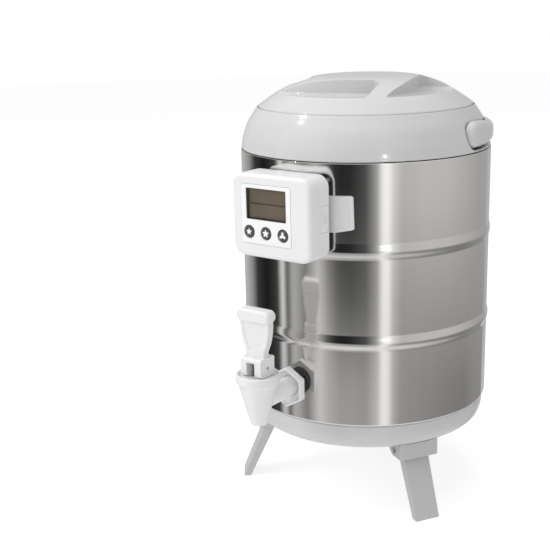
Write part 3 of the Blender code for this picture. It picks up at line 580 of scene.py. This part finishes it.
def build_shell():
    outer = rounded([(SHELL_INNER, SHELL_TOP), (SHELL_RADIUS, SHELL_TOP, 0.0006),
                     (SHELL_RADIUS, SHELL_TOP - 0.003)])
    for middle in BEAD_HEIGHTS:
        outer += bead(middle)
    outer += rounded([(SHELL_RADIUS, SHELL_BOTTOM + 0.006), (SHELL_RADIUS, SHELL_BOTTOM + 0.0022, 0.002),
                      (0.1275, SHELL_BOTTOM)])
    inner = [(0.1275, SHELL_BOTTOM + 0.0009), (0.1285, SHELL_BOTTOM + 0.0014),
             (SHELL_INNER, SHELL_BOTTOM + 0.0035)]
    shell = turned("shell_skin", outer + inner, closed=True, steps=256)
    combine(shell, wall_holes())
    piece(shell, "barrel", "brushed_steel", "outer_shell")


LINER_RADIUS = 0.1032
LINER_FLOOR = 0.1191
LINER_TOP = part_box("inner_liner")[1].z
SHEET = 0.0008


def build_liner():
    inside = rounded([(0.0, LINER_FLOOR), (0.0880, LINER_FLOOR + 0.0004, 0.02),
                      (LINER_RADIUS, LINER_FLOOR + 0.0030, 0.006), (LINER_RADIUS, LINER_TOP, 0.0010),
                      (0.1080, LINER_TOP)])
    outside = rounded([(0.1080, LINER_TOP - SHEET), (LINER_RADIUS + SHEET, LINER_TOP - SHEET, 0.0004),
                       (LINER_RADIUS + SHEET, LINER_FLOOR + 0.0028), (0.1004, LINER_FLOOR - SHEET),
                       (0.0, LINER_FLOOR - SHEET)])
    liner = turned("liner_skin", inside + outside, steps=160)
    combine(liner, wall_holes())
    piece(liner, "barrel", "polished_steel", "inner_liner")


def build_base():
    """The moulded dish under the barrel, with a soft lip and a shallow rim underneath."""
    inside = rounded([(0.0, 0.0800), (0.1150, 0.0800, 0.004), (0.1225, 0.0885, 0.006),
                      (0.1236, 0.0965), (0.1236, SHELL_BOTTOM - 0.0003)])
    lip = SHELL_BOTTOM - 0.0001
    outside = rounded([(0.1240, lip), (0.1272, lip, 0.0009), (0.1273, 0.0950)])
    outside += flow([(0.1273, 0.0945), (0.1263, 0.0878), (0.1233, 0.0812), (0.1172, 0.0767)], 6)
    outside += rounded([(0.1120, 0.0765), (0.1010, 0.0765, 0.001), (0.1000, 0.0772, 0.001),
                        (0.0, 0.0772)])
    dish = turned("base_skin", inside + outside)
    piece(dish, "barrel", "grey_plastic", "base_dish")


# ---------------------------------------------------------------- collar and carrying handle
BAIL_LOW, BAIL_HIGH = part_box("bail_handle")
BAIL_Z = (BAIL_LOW.z + BAIL_HIGH.z) / 2
BAIL_HALF = (BAIL_HIGH.z - BAIL_LOW.z) / 2
BAIL_OUTER = (BAIL_HIGH.x - BAIL_LOW.x) / 2
BAIL_INNER = 0.1228
BAIL_ROOM = 0.0015
BAIL_DROP = 0.0045         # how much lower the band's upper edge runs behind its ends
POCKET_SHIFT = 0.0008      # the pocket's round end lies this much lower and further forward
POCKET_FLOOR = 0.1211


def pin_seats():
    """The holes that the handle's two pins sit in, a little longer and wider than the pins."""
    return [rod("pin_seat", 0.0038, (side * 0.1137, AXIS_Y, BAIL_Z), (side * 0.1293, AXIS_Y, BAIL_Z), 32)
            for side in (1, -1)]


def build_collar():
    """The collar with its pocket, a dark piece of painted shade in the pocket's gap, and a dark ring of
    painted shade in the lid's seam.
    """
    outer = rounded([(0.1113, 0.4102), (0.1119, 0.4110, 0.0005), (0.1124, 0.4105)])[:-1]
    outer += flow([(0.1124, 0.4105), (0.1150, 0.4068), (0.1222, 0.3955), (0.1274, 0.3815), (0.1292, 0.3712)],
                 8)
    outer += rounded([(0.12935, 0.3706), (0.1293, 0.3690, 0.0010), (0.1240, 0.3688)])
    inside = [(0.1048, 0.3688), (0.1048, 0.4016), (0.1085, 0.4016), (0.1085, 0.4090), (0.1113, 0.4090)]
    collar = turned("collar_skin", outer + inside, closed=True, steps=240)

    room = BAIL_HALF + BAIL_ROOM
    middle = BAIL_Z - POCKET_SHIFT
    side = arc((AXIS_Y - POCKET_SHIFT, middle), room, 270, 90, 40)
    side += [(AXIS_Y + 0.15, middle + room), (AXIS_Y + 0.15, middle - room)]
    pocket = prism("pocket", side, -0.16, 0.16, "X")
    core = turned("pocket_core", [(0.0, 0.45), (POCKET_FLOOR, 0.45), (POCKET_FLOOR, 0.34), (0.0, 0.34)],
                  steps=240)
    combine(pocket, [core])
    combine(collar, [pocket] + pin_seats())
    ease(collar, 0.0005, 2, 50.0)
    piece(collar, "barrel", "grey_plastic", "collar")
    # A dark piece under and in front of the handle's round ends: painted shade for the dark gap round them.
    centre = (AXIS_Y - POCKET_SHIFT, middle)
    outer_side, inner_side = room - 0.0001, room - 0.0006
    gap_shade_outline = arc(centre, outer_side, 165, 270, 24) + [(AXIS_Y + 0.020, middle - outer_side),
                                                           (AXIS_Y + 0.020, middle - inner_side)]
    gap_shade_outline += arc(centre, inner_side, 270, 165, 24)
    for name, low, high in (("right", 0.1202, 0.1246), ("left", -0.1246, -0.1202)):
        gap_shade_piece = prism(f"pocket_gap_shade_{name}", gap_shade_outline, low, high, "X", 0.0001, 0.0001, 1)
        piece(gap_shade_piece, "barrel", "dark_rubber")
    # A thin dark ring down in the lid's seam: painted shade that darkens the gap between lid and collar.
    seam_shade_ring = turned("lid_seam_shade", rounded([(0.1112, 0.4106), (0.1112, 0.4091, 0.0001), (0.1109, 0.4091, 0.0001),
                                         (0.1109, 0.4100, 0.0002)], closed=True), closed=True)
    piece(seam_shade_ring, "barrel", "dark_rubber")


def pillow(depth, radius):
    """How far a surface has dropped at a depth in from its rounded edge."""
    if depth >= radius:
        return 0.0
    return radius - math.sqrt(radius ** 2 - (radius - depth) ** 2)


def build_handle():
    """A half ring of strap, thick and rounded, whose two ends are round about their pivots."""
    end_steps, around_steps, across_steps = 12, 110, 12
    outer_round, inner_round = 0.0078, 0.0006
    drop_length = 0.065       # how far behind the pivots the upper edge reaches its lower run
    ends = [BAIL_HALF * math.sin(math.pi / 2 * (1 - i / end_steps)) for i in range(end_steps)]
    stations = [(90.0, ahead) for ahead in ends]
    stations += [(90.0 + 180.0 * i / around_steps, 0.0) for i in range(around_steps + 1)]
    stations += [(270.0, ahead) for ahead in reversed(ends)]
    across = [math.sin(math.pi / 2 * k / across_steps) for k in range(-across_steps, across_steps + 1)]
    bm = bmesh.new()
    loops = []
    for azimuth, ahead in stations:
        reach = math.sqrt(max(0.0, BAIL_HALF ** 2 - ahead ** 2))
        behind = min(1.0, -math.cos(math.radians(azimuth)) * BAIL_OUTER / drop_length)
        drop = BAIL_DROP * behind * behind * (3 - 2 * behind)
        loop = []
        for base, rounding, sign, rows in ((BAIL_OUTER, outer_round, -1, across),
                                           (BAIL_INNER, inner_round, 1, across[::-1])):
            for share in rows:
                limit = reach - drop if share > 0 else reach
                rise = limit * share
                depth = BAIL_HALF - math.hypot(ahead, rise) if ahead else limit * (1 - abs(share))
                radius = base + sign * pillow(max(0.0, depth), rounding)
                angle = math.radians(azimuth)
                x = radius * math.sin(angle)
                y = AXIS_Y - radius * math.cos(angle)
                if ahead:
                    x = math.copysign(math.sqrt(radius ** 2 - ahead ** 2), math.sin(angle))
                    y = AXIS_Y - ahead
                loop.append(bm.verts.new((x, y, BAIL_Z + rise)))
        loops.append(loop)
    for first, second in zip(loops, loops[1:]):
        for i in range(len(first)):
            j = (i + 1) % len(first)
            bm.faces.new((first[i], first[j], second[j], second[i]))
    bm.faces.new(loops[0])
    bm.faces.new(loops[-1])
    bmesh.ops.remove_doubles(bm, verts=bm.verts, dist=1e-6)
    handle = from_bmesh("handle_band", bm)
    combine(handle, pin_seats())
    piece(handle, "handle", "grey_plastic", "bail_handle")
    for side, name in ((1, "right"), (-1, "left")):
        pin = rod(f"pivot_{name}", 0.0035, (side * 0.1140, AXIS_Y, BAIL_Z), (side * 0.1290, AXIS_Y, BAIL_Z),
                  32, chamfer=0.0006)
        piece(pin, "barrel", "polished_steel", f"handle_pin_{name}")


# ---------------------------------------------------------------- lid
LID_EDGE = 0.1108
LID_SEAT = 0.4094
SCOOP_FLOOR = 0.4250
SCOOP_COUNT = 4


def scoop_outline():
    """One finger scoop from above: a blade that widens from its tip to its blunt grip wall."""
    wall = flow([(-0.0660, -0.0640), (-0.0500, -0.0640), (-0.0320, -0.0635), (-0.0140, -0.0610),
                 (0.0040, -0.0565), (0.0220, -0.0505), (0.0330, -0.0450)], 4)
    corner = arc((0.0395, -0.0505), 0.0085, 105, 0, 10)
    side = flow([(0.0484, -0.0560), (0.0496, -0.0660), (0.0500, -0.0780), (0.0520, -0.1000)], 3)
    return wall + corner + side + [(0.0, -0.1250), (-0.0900, -0.1000)]


def build_lid():
    dome = [(0.0, 0.4413)] + flow([(0.0300, 0.4412), (0.0500, 0.4402), (0.0660, 0.4365), (0.0820, 0.4303),
                                   (0.0980, 0.4207), (0.1096, 0.4126)], 8)
    edge = rounded([(0.1099, 0.4124), (LID_EDGE, 0.4112, 0.0008), (LID_EDGE, LID_SEAT, 0.0004),
                    (0.0990, LID_SEAT)])
    under = [(0.0970, 0.4157), (0.0797, 0.4222), (0.0, 0.4222)]
    lid = turned("lid_skin", dome + edge + under, steps=240)
    scoops = []
    for number in range(SCOOP_COUNT):
        place = Matrix.Translation((0.0, AXIS_Y, 0.0)) @ Matrix.Rotation(math.pi / 2 * number, 4, "Z")
        scoops.append(prism(f"scoop_{number}", scoop_outline(), SCOOP_FLOOR, 0.46, "Z", 0.0022, 0.0, 5,
                            place))
    combine(lid, scoops)
    ease(lid, 0.0010, 3, 32.0)
    piece(lid, "lid", "grey_plastic", "lid_cover")

    plug = turned("plug_skin", rounded([
        (0.0, 0.3748), (0.0982, 0.3748, 0.002), (0.0982, 0.4091), (0.1078, 0.4091, 0.0004),
        (0.1078, 0.4066, 0.0004), (0.1010, 0.4066, 0.0005), (0.1010, 0.3730, 0.004), (0.0900, 0.3722, 0.004),
        (0.0860, 0.3732, 0.004), (0.0, 0.3732)]), steps=160)
    piece(plug, "lid", "white_plastic", "lid_plug")
    seal = turned("seal_ring", rounded([
        (0.1077, 0.4063, 0.0006), (0.1077, 0.4052, 0.0003), (0.1070, 0.4047, 0.0003),
        (0.1077, 0.4041, 0.0003),
        (0.1077, 0.4030, 0.0006), (0.1013, 0.4030, 0.0006), (0.1013, 0.4063, 0.0006)]), closed=True,
        steps=160)
    piece(seal, "lid_ring", "silicone", "lid_seal")


# ---------------------------------------------------------------- legs
LEG_BODIES = ("right_leg", "left_leg", "rear_leg")
LEG_WIDE = 0.0292
LEG_FOOT_WIDE = 0.0275
BRACKET_WIDE = 0.0430
CHEEK = 0.0060
BRACKET_FRONT, BRACKET_BACK = -0.0142, 0.0113    # from the leg's pin, inwards
BRACKET_CEILING, BRACKET_LOW = 0.0072, -0.0072   # from the pin, upwards
LEG_PIN_RADIUS = 0.0022
LEG_PIN_BORE = 0.0025


def leg_place(number):
    """Where a leg's own axes lie in the barrel, and its pin's middle."""
    pivot = centre_of(f"leg_pin_{number}")
    azimuth = math.atan2(pivot.x, AXIS_Y - pivot.y)
    return Matrix.Translation(pivot) @ Matrix.Rotation(azimuth, 4, "Z"), pivot


def build_leg(number, body):
    """A leg, its bracket and its pin, built about the pin with u inwards and v up, then set in place."""
    place, pivot = leg_place(number)
    foot = -pivot.z
    top = [(-x, y) for x, y in arc((0.0, 0.0), 0.0053, 10, 158, 16)]
    side = [(-0.0327, foot), (-0.0068, -0.0052)] + top + [(0.0050, -0.0050), (-0.0252, foot)]
    leg = prism(f"leg_skin_{number}", side, -LEG_WIDE / 2, LEG_WIDE / 2, "X", 0.0010, 0.0010, 3)
    for vert in leg.data.vertices:
        share = min(0.0, vert.co.z) / foot
        vert.co.x *= 1 + share * (LEG_FOOT_WIDE / LEG_WIDE - 1)
    combine(leg, [rod("bore", LEG_PIN_BORE, (-0.03, 0, 0), (0.03, 0, 0), 32)])
    ease(leg, 0.0004, 2, 40.0)
    leg.data.transform(place)
    piece(leg, body, "satin_plastic", f"leg_{number}")

    # The bracket runs up into the dish's underside, and is then cut to its curve.
    back, low, above = BRACKET_BACK, BRACKET_LOW, 0.0135
    outline = rounded([(BRACKET_FRONT, above), (BRACKET_FRONT, low, 0.0012), (back - 0.0070, low, 0.002),
                       (back - 0.0005, low + 0.0057, 0.002), (back, above)], closed=True)
    bracket = prism(f"bracket_skin_{number}", outline, -BRACKET_WIDE / 2, BRACKET_WIDE / 2, "X",
                    0.0008, 0.0008, 3)
    inside = BRACKET_WIDE / 2 - CHEEK
    cutters = [block("channel", (-inside, BRACKET_FRONT + 0.0035, -0.02), (inside, 0.03, BRACKET_CEILING)),
               rod("bore", LEG_PIN_BORE, (-0.03, 0, 0), (0.03, 0, 0), 32)]
    for sign in (-1, 1):
        screw_x = sign * (BRACKET_WIDE - CHEEK) / 2
        cutters.append(rod("counterbore", 0.0036, (sign * 0.0194, 0, 0), (sign * 0.03, 0, 0), 32))
        cutters.append(rod("screw_hole", 0.0018, (screw_x, -0.0047, 0.0010), (screw_x, -0.0047, 0.02), 24))
    combine(bracket, cutters)
    bracket.data.transform(place)
    dish = turned("dish_room", [(0.0, 0.0763), (0.1168, 0.0763), (0.1200, 0.0781), (0.1232, 0.0808),
                                (0.1265, 0.0878), (0.1265, 0.0950), (0.0, 0.0950)])
    combine(bracket, [dish])
    piece(bracket, "barrel", "satin_plastic", f"leg_bracket_{number}")
    pin = rod(f"pivot_pin_{number}", LEG_PIN_RADIUS, (-0.0186, 0, 0), (0.0186, 0, 0), 32, chamfer=0.0005)
    pin.data.transform(place)
    piece(pin, "barrel", "polished_steel", f"leg_pin_{number}")


# ---------------------------------------------------------------- tap
SPOUT_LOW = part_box("tap_body")[0].z
SPOUT_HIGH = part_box("tap_body")[1].z
VALVE_SEAT = 0.1340
BONNET_TOP = 0.1700


def build_tap_body():
    here = Vector((TAP.x, TAP.y, 0.0))
    body = turned("tap_skin", rounded([
        (0.0, SPOUT_HIGH - 0.0020), (0.0170, SPOUT_HIGH - 0.0020), (0.0192, SPOUT_HIGH, 0.0006),
        (0.0214, SPOUT_HIGH, 0.0012), (0.0211, SPOUT_HIGH - 0.0084, 0.0016),
        (0.0190, SPOUT_HIGH - 0.0108, 0.0018), (0.0087, SPOUT_LOW + 0.0014, 0.0008),
        (0.0080, SPOUT_LOW, 0.0006), (0.0, SPOUT_LOW)]), steps=128, centre=here)
    shank = prism("shank", arc((0.0, TAP_BORE_Z), 0.0101, 0, 354, 59), TAP.y + 0.0110, -0.0520, "Y")
    combine(body, [shank], "UNION")
    hollows = [
        rod("recess", 0.0188, (0, TAP.y, SPOUT_HIGH - 0.0052), (0, TAP.y, 0.19), 96),
        rod("chamber", 0.0095, (0, TAP.y, VALVE_SEAT), (0, TAP.y, 0.19), 64),
        rod("spout_bore", 0.0056, (0, TAP.y, 0.11), (0, TAP.y, 0.14), 48),
        rod("shank_bore", 0.0062, (0, TAP.y + 0.004, TAP_BORE_Z), (0, TAP.y + 0.15, TAP_BORE_Z), 48),
    ]
    combine(body, hollows)
    ease(body, 0.0005, 3, 42.0)
    piece(body, "barrel", "white_plastic", "tap_body")

    bonnet = turned("bonnet_skin", rounded([
        (0.0042, BONNET_TOP, 0.0004), (0.0172, BONNET_TOP, 0.0008), (0.0180, BONNET_TOP + 0.0016, 0.0003),
        (0.0185, BONNET_TOP + 0.0016, 0.0003), (0.0185, 0.1675, 0.0003), (0.0092, 0.1675), (0.0092, 0.1600),
        (0.0042, 0.1600)], closed=True), closed=True, steps=96, centre=here)
    piece(bonnet, "barrel", "white_plastic", "tap_bonnet")


def hexagon(radius, corner):
    """A hexagon round the shank, standing on one of its points."""
    points = [(radius * math.sin(math.pi * i / 3), TAP_BORE_Z + radius * math.cos(math.pi * i / 3), corner)
              for i in range(6)]
    return rounded(points, closed=True, step=15.0)


def build_tap_fastening():
    """The six-sided nut and the round gasket behind it, with the shank through them."""
    low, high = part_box("tap_nut")
    nut = prism("nut_skin", hexagon(0.0208, 0.0012), low.y, high.y, "Y", 0.0013, 0.0, 1)
    chamfer = turned("nut_chamfer", [(0.0, 0.0), (0.0198, 0.0), (0.0226, 0.0040), (0.0226, 0.0200),
                                     (0.0, 0.0200)], steps=96, centre=Vector((0.0, 0.0, 0.0)))
    combine(nut, [face_front(chamfer, 0.0, low.y, TAP_BORE_Z)], "INTERSECT")
    combine(nut, [rod("nut_bore", SHANK_ROOM, (0, -0.12, TAP_BORE_Z), (0, -0.07, TAP_BORE_Z), 64)])
    piece(ease(nut, 0.0003, 2, 30.0), "barrel", "white_plastic", "tap_nut")
    low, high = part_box("tap_gasket_outer")
    ring = arc((0.0, TAP_BORE_Z), 0.0140, 0, 360, 64)[:-1]
    gasket = prism("gasket_skin", ring, low.y, high.y, "Y", 0.0006, 0.0006, 2)
    combine(gasket, [rod("gasket_bore", SHANK_ROOM, (0, -0.12, TAP_BORE_Z), (0, -0.07, TAP_BORE_Z), 64)])
    piece(gasket, "barrel", "dark_rubber", "tap_gasket_outer")


def build_valve():
    pin = LEVER_PIN.z
    stem = turned("stem_skin", rounded([
        (0.0, pin + 0.0045), (0.0034, pin + 0.0045, 0.0006), (0.0034, pin - 0.0050), (0.0030, pin - 0.0054),
        (0.0030, pin - 0.0070), (0.0034, pin - 0.0074), (0.0034, 0.1375), (0.0, 0.1375)]), steps=48,
        centre=Vector((TAP.x, TAP.y, 0.0)))
    combine(stem, [rod("stem_bore", 0.0018, (-0.02, TAP.y, pin), (0.02, TAP.y, pin), 32)])
    piece(stem, "valve", "dark_plastic", "valve_stem")
    bar = rod("lever_pin_skin", 0.0015, (-0.0112, TAP.y, pin), (0.0112, TAP.y, pin), 32, chamfer=0.0004)
    piece(bar, "valve", "polished_steel", "lever_pin")


CAM_ARM = LEVER_PIN.z - BONNET_TOP - 0.0003
CAM_RISE = 0.0040
LEVER_TILT = math.radians(40)


def cam_side():
    """Side view of the lever's foot about its pin.  Its front is the cam that lifts the pin."""
    cam = []
    for step in range(19):
        tilt = LEVER_TILT * step / 18
        reach = CAM_ARM + CAM_RISE * tilt
        cam.append((-reach * math.sin(tilt) - CAM_RISE * math.cos(tilt),
                    -reach * math.cos(tilt) + CAM_RISE * math.sin(tilt)))
    back = rounded([(0.0090, 0.0110), (0.0110, 0.0095, 0.001), (0.0110, -0.0080, 0.001), (0.0100, -CAM_ARM)])
    front = rounded([cam[-1], (-0.0110, -0.0050), (-0.0110, 0.0085, 0.0015), (-0.0090, 0.0105)])
    return back[1:] + cam + front[1:] + [(0.0090, 0.0110)]


def build_lever():
    lever = prism("lever_skin", cam_side(), -0.0125, 0.0125, "X", 0.0010, 0.0010, 3)
    right = flow([(0.0120, 0.0060), (0.0109, 0.0125), (0.0115, 0.0165), (0.0150, 0.0260), (0.0172, 0.0380),
                  (0.0174, 0.0480)], 6)
    shield = prism("shield", right + [(-u, v) for u, v in reversed(right)], -0.0040, 0.0045, "Y",
                   0.0011, 0.0011, 3)
    cap = prism("cap", box_outline((0.0, 0.0512), (0.0390, 0.0125), 0.0061), -0.0072, 0.0068, "Y",
                0.0030, 0.0030, 5)
    combine(lever, [shield, cap], "UNION")
    field = rounded([(0.0070, 0.0178, 0.003), (0.0118, 0.0290, 0.012), (0.0138, 0.0400, 0.01),
                     (0.0138, 0.0446, 0.0015), (-0.0138, 0.0446, 0.0015), (-0.0138, 0.0400, 0.01),
                     (-0.0118, 0.0290, 0.012), (-0.0070, 0.0178, 0.003)], closed=True)
    recess = prism("recess", field, -0.006, -0.0032, "Y", 0.0, 0.0006, 3)
    slot = block("slot", (-0.0048, -0.02, -0.02), (0.0048, 0.0068, 0.0061))
    bore = rod("bore", 0.0018, (-0.02, 0, 0), (0.02, 0, 0), 32)
    combine(lever, [recess, slot, bore])
    ease(lever, 0.0004, 2, 40.0)
    lever.data.transform(Matrix.Translation(LEVER_PIN))
    piece(lever, "lever", "white_plastic", "tap_lever")


# ---------------------------------------------------------------- temperature display
DISPLAY_LOW, DISPLAY_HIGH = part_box("display_front_case")
DISPLAY_FRONT = DISPLAY_LOW.y
DISPLAY_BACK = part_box("display_back_case")[1].y
DISPLAY_SPLIT = -0.1490 + AXIS_Y
DISPLAY_Z = centre_of("display_back_case").z
DISPLAY_SIZE = (0.092, 0.081)
DISPLAY_CORNER = 0.012
WALL = 0.0023
GAP = 0.0003
PANEL = centre_of("display_panel")
PANEL_SIZE = (0.0590, 0.0576)
WINDOW = centre_of("display_window")
WINDOW_SIZE = (0.0466, 0.0296)
BUTTON_RADIUS = 0.0062
SCREW_CORNERS = [(side * 0.038, up * 0.0325) for side in (-1, 1) for up in (-1, 1)]


def case_prism(name, inset, front, back, **rounding):
    size = (DISPLAY_SIZE[0] - 2 * inset, DISPLAY_SIZE[1] - 2 * inset)
    outline = box_outline((0.0, DISPLAY_Z), size, DISPLAY_CORNER - inset, 6.0)
    return prism(name, outline, front, back, "Y", **rounding)


def face_cutters():
    """The window's opening and the buttons' holes, through the panel and the case behind it."""
    size = (WINDOW_SIZE[0] + 2 * GAP, WINDOW_SIZE[1] + 2 * GAP)
    made = [prism("window_hole", box_outline((WINDOW.x, WINDOW.z), size, 0.0006, 30.0),
                  DISPLAY_FRONT - 0.01, DISPLAY_FRONT + 0.005, "Y")]
    for number in range(1, 4):
        spot = centre_of(f"button_{number}")
        made.append(rod("button_hole", BUTTON_RADIUS + GAP, (spot.x, DISPLAY_FRONT - 0.01, spot.z),
                        (spot.x, DISPLAY_FRONT + 0.005, spot.z), 64))
    return made


def case_back_holes():
    """Holes through the back of the case, for the probe and the four screws."""
    return [probe_hole()] + [rod("screw_hole", 0.0015, (x, DISPLAY_BACK - 0.0032, DISPLAY_Z + z),
                                 (x, DISPLAY_BACK + 0.01, DISPLAY_Z + z), 24) for x, z in SCREW_CORNERS]


def build_case():
    front = case_prism("case_front", 0.0, DISPLAY_FRONT, DISPLAY_SPLIT, round_low=0.0042, round_high=0.0004,
                       segments=6)
    combine(front, [case_prism("pocket", WALL, DISPLAY_FRONT + 0.0025, DISPLAY_SPLIT + 0.01)])
    bosses = [rod("boss", 0.0030, (x, DISPLAY_FRONT + 0.0015, DISPLAY_Z + z),
                  (x, DISPLAY_BACK - 0.0028, DISPLAY_Z + z), 32) for x, z in SCREW_CORNERS]
    combine(front, bosses, "UNION")
    pilots = [rod("pilot", 0.0015, (x, DISPLAY_FRONT + 0.0150, DISPLAY_Z + z),
                  (x, DISPLAY_BACK + 0.01, DISPLAY_Z + z), 24) for x, z in SCREW_CORNERS]
    seat_size = (PANEL_SIZE[0] + 0.0007, PANEL_SIZE[1] + 0.0007)
    seat = prism("panel_seat", box_outline((PANEL.x, PANEL.z), seat_size, 0.0034), DISPLAY_FRONT - 0.01,
                 DISPLAY_FRONT + 0.0009, "Y")
    combine(front, pilots + [seat] + face_cutters())
    piece(front, "barrel", "white_plastic", "display_front_case")

    back = case_prism("case_back", 0.0, DISPLAY_SPLIT + GAP, DISPLAY_BACK, round_low=0.0004,
                      round_high=0.0022, segments=4)
    low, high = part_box("battery_door")
    cutters = [case_prism("pocket", WALL, DISPLAY_SPLIT - 0.01, DISPLAY_BACK - 0.0022),
               block("door_opening", (high.x - 0.005, low.y - GAP, low.z - GAP),
                     (high.x + 0.005, high.y + GAP, high.z + GAP))]
    cutters += case_back_holes()
    # A shallow recess in the case's back, for the dark sheet of painted shade below.
    cutters.append(case_prism("shade_sheet_recess", 0.0024, DISPLAY_BACK - 0.0009, DISPLAY_BACK + 0.01))
    combine(back, cutters)
    piece(back, "barrel", "white_plastic", "display_back_case")
    # A dark sheet over the case's back: painted shade for the back that lies in shade behind the display, as
    # the steel mirrors it.
    back_shade_sheet = case_prism("case_back_shade", 0.0025, DISPLAY_BACK - 0.0008, DISPLAY_BACK, round_high=0.0003,
                       segments=2)
    combine(back_shade_sheet, case_back_holes())
    piece(back_shade_sheet, "barrel", "dark_plastic")

    centre = (low + high) / 2
    outline = box_outline((centre.y, centre.z), (high.y - low.y, high.z - low.z), 0.0006, 30.0)
    door = prism("door_skin", outline, low.x, high.x, "X", 0.0, 0.0003, 2)
    grips = [block("grip", (high.x - 0.0004, low.y + 0.003, centre.z + lift - 0.0004),
                   (high.x + 0.001, high.y - 0.003, centre.z + lift + 0.0004))
             for lift in (-0.0030, -0.0015, 0.0, 0.0015, 0.0030)]
    combine(door, grips)
    piece(door, "battery_hatch", "white_plastic", "battery_door")


def build_face():
    low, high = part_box("display_panel")
    panel = prism("panel_skin", box_outline((PANEL.x, PANEL.z), PANEL_SIZE, 0.0030, 6.0), low.y, high.y, "Y",
                  0.0002, 0.0, 2)
    combine(panel, face_cutters())
    piece(panel, "barrel", "panel_white", "display_panel")

    # A dark sleeve lines the opening, from the clear lens back to the display itself.
    sleeve_wall = 0.0005
    glass_front, glass_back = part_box("display_window")[0].y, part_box("display_window")[1].y
    display_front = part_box("lcd_module")[0].y
    sleeve = prism("window_sleeve", box_outline((WINDOW.x, WINDOW.z), WINDOW_SIZE, 0.0005, 30.0),
                   glass_front, display_front - 0.0001, "Y")
    inside = (WINDOW_SIZE[0] - 2 * sleeve_wall, WINDOW_SIZE[1] - 2 * sleeve_wall)
    combine(sleeve, [prism("sleeve_hole", box_outline((WINDOW.x, WINDOW.z), inside, 0.0004, 30.0),
                           glass_front - 0.01, display_front + 0.01, "Y")])
    piece(sleeve, "barrel", "dark_plastic")
    lens_size = (inside[0] - 0.0001, inside[1] - 0.0001)
    lens = prism("window_lens", box_outline((WINDOW.x, WINDOW.z), lens_size, 0.0004, 30.0),
                 glass_front + 0.0009, glass_back, "Y", 0.0001, 0.0, 1)
    piece(lens, "barrel", "clear_plastic", "display_window")

    low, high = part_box("lcd_module")
    outline = box_outline((WINDOW.x, WINDOW.z), (high.x - low.x, high.z - low.z), 0.0008, 30.0)
    module = prism("lcd_frame", outline, low.y + 0.0004, high.y, "Y", 0.0003, 0.0003, 2)
    piece(module, "barrel", "dark_plastic", "lcd_module")
    for name, centre_up, tall in (("upper", 0.00740, 0.0138), ("lower", -0.00730, 0.0136)):
        field = prism(f"lcd_field_{name}", box_outline((WINDOW.x, WINDOW.z + centre_up), (0.0452, tall),
                                                       0.0004, 30.0), low.y, low.y + 0.00035, "Y",
                      0.0001, 0.0, 1)
        piece(field, "barrel", "display_glass")


def star(radius, points, waist):
    """Outline of a star with rounded tips, one of them upwards."""
    made = []
    for i in range(2 * points):
        reach = radius if i % 2 == 0 else radius * waist
        angle = math.radians(90.0 + 180.0 * i / points)
        made.append((reach * math.cos(angle), reach * math.sin(angle), radius * 0.08))
    return rounded(made, closed=True, step=45.0)


def petals(radius, count, hollow=0.45):
    """Outline of a plain flower, one petal upwards."""
    made = []
    for i in range(60):
        angle = 2 * math.pi * i / 60
        swing = math.cos(count * (angle - math.radians(90.0)))
        made.append((radius * (1 - hollow * (0.5 - 0.5 * swing)) * math.cos(angle),
                     radius * (1 - hollow * (0.5 - 0.5 * swing)) * math.sin(angle)))
    return made


def build_buttons():
    marks = (star(0.0037, 5, 0.45), petals(0.0036, 5), petals(0.0038, 3, hollow=0.6))
    bodies = ("button_left", "button_middle", "button_right")
    for number, (body, mark) in enumerate(zip(bodies, marks), start=1):
        low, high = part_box(f"button_{number}")
        spot = (low + high) / 2
        radius = BUTTON_RADIUS - 0.0001
        profile = [(0.0, 0.00012)] + flow([(0.0020, 0.00014), (0.0042, 0.0004), (0.0055, 0.0009),
                                           (radius, 0.0020)], 4) + [(radius, high.y - low.y),
                                                                    (0.0, high.y - low.y)]
        cap = turned(f"button_cap_{number}", profile, steps=64, centre=Vector((0.0, 0.0, 0.0)))
        piece(face_front(cap, spot.x, low.y, spot.z), body, "button_rubber", f"button_{number}")
        outline = [(spot.x + u, spot.z + v) for u, v in mark]
        sign = prism(f"button_mark_{number}", outline, low.y + 0.00002, low.y + 0.0006, "Y")
        piece(sign, body, "panel_white")


STRAP_HALF_WIDE = 0.0617


def strap_outline(low, high, margin, corner):
    """Front view of the strap, inset by a margin: its lower edge rises and its ends lean in."""
    half, shoulder = STRAP_HALF_WIDE - margin, DISPLAY_SIZE[0] / 2
    rise, lean = 0.0030, 0.0008
    right = [(shoulder, low + margin), (half, low + margin + rise, corner),
             (half - lean, high - margin, corner), (shoulder, high - margin)]
    return rounded(right + [(-point[0],) + point[1:] for point in reversed(right)], closed=True, step=20.0)


def build_strap():
    """The band that holds the display, bent round the shell, with a raised rim."""
    low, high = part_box("mounting_strap")
    inner, outer = 0.1303, 0.1323
    strap = turned("strap_skin", [(outer, high.z), (outer, low.z), (inner, low.z), (inner, high.z)],
                   closed=True, steps=360)
    rim = 0.0022
    outline = strap_outline(low.z, high.z, 0.0, 0.0015)
    combine(strap, [prism("span", outline, AXIS_Y - 0.15, AXIS_Y - 0.05, "Y")], "INTERSECT")
    field = turned("field", [(0.150, high.z - rim), (0.150, low.z + rim), (outer - 0.0004, low.z + rim),
                             (outer - 0.0004, high.z - rim)], closed=True, steps=360)
    keep = strap_outline(low.z, high.z, rim, 0.0010)
    combine(field, [prism("keep", keep, AXIS_Y - 0.16, AXIS_Y - 0.05, "Y")], "INTERSECT")
    combine(strap, [field, probe_hole()])
    ease(strap, 0.0003, 2, 50.0)
    piece(strap, "barrel", "white_plastic", "mounting_strap")


# ---------------------------------------------------------------- assembly
build_camera()
build_world()
build_stage()
dress_carried_over()
build_shell()
build_liner()
build_base()
build_collar()
build_handle()
build_lid()
for leg_number, leg_body in enumerate(LEG_BODIES, start=1):
    build_leg(leg_number, leg_body)
build_tap_body()
build_tap_fastening()
build_valve()
build_lever()
build_case()
build_face()
build_buttons()
build_strap()
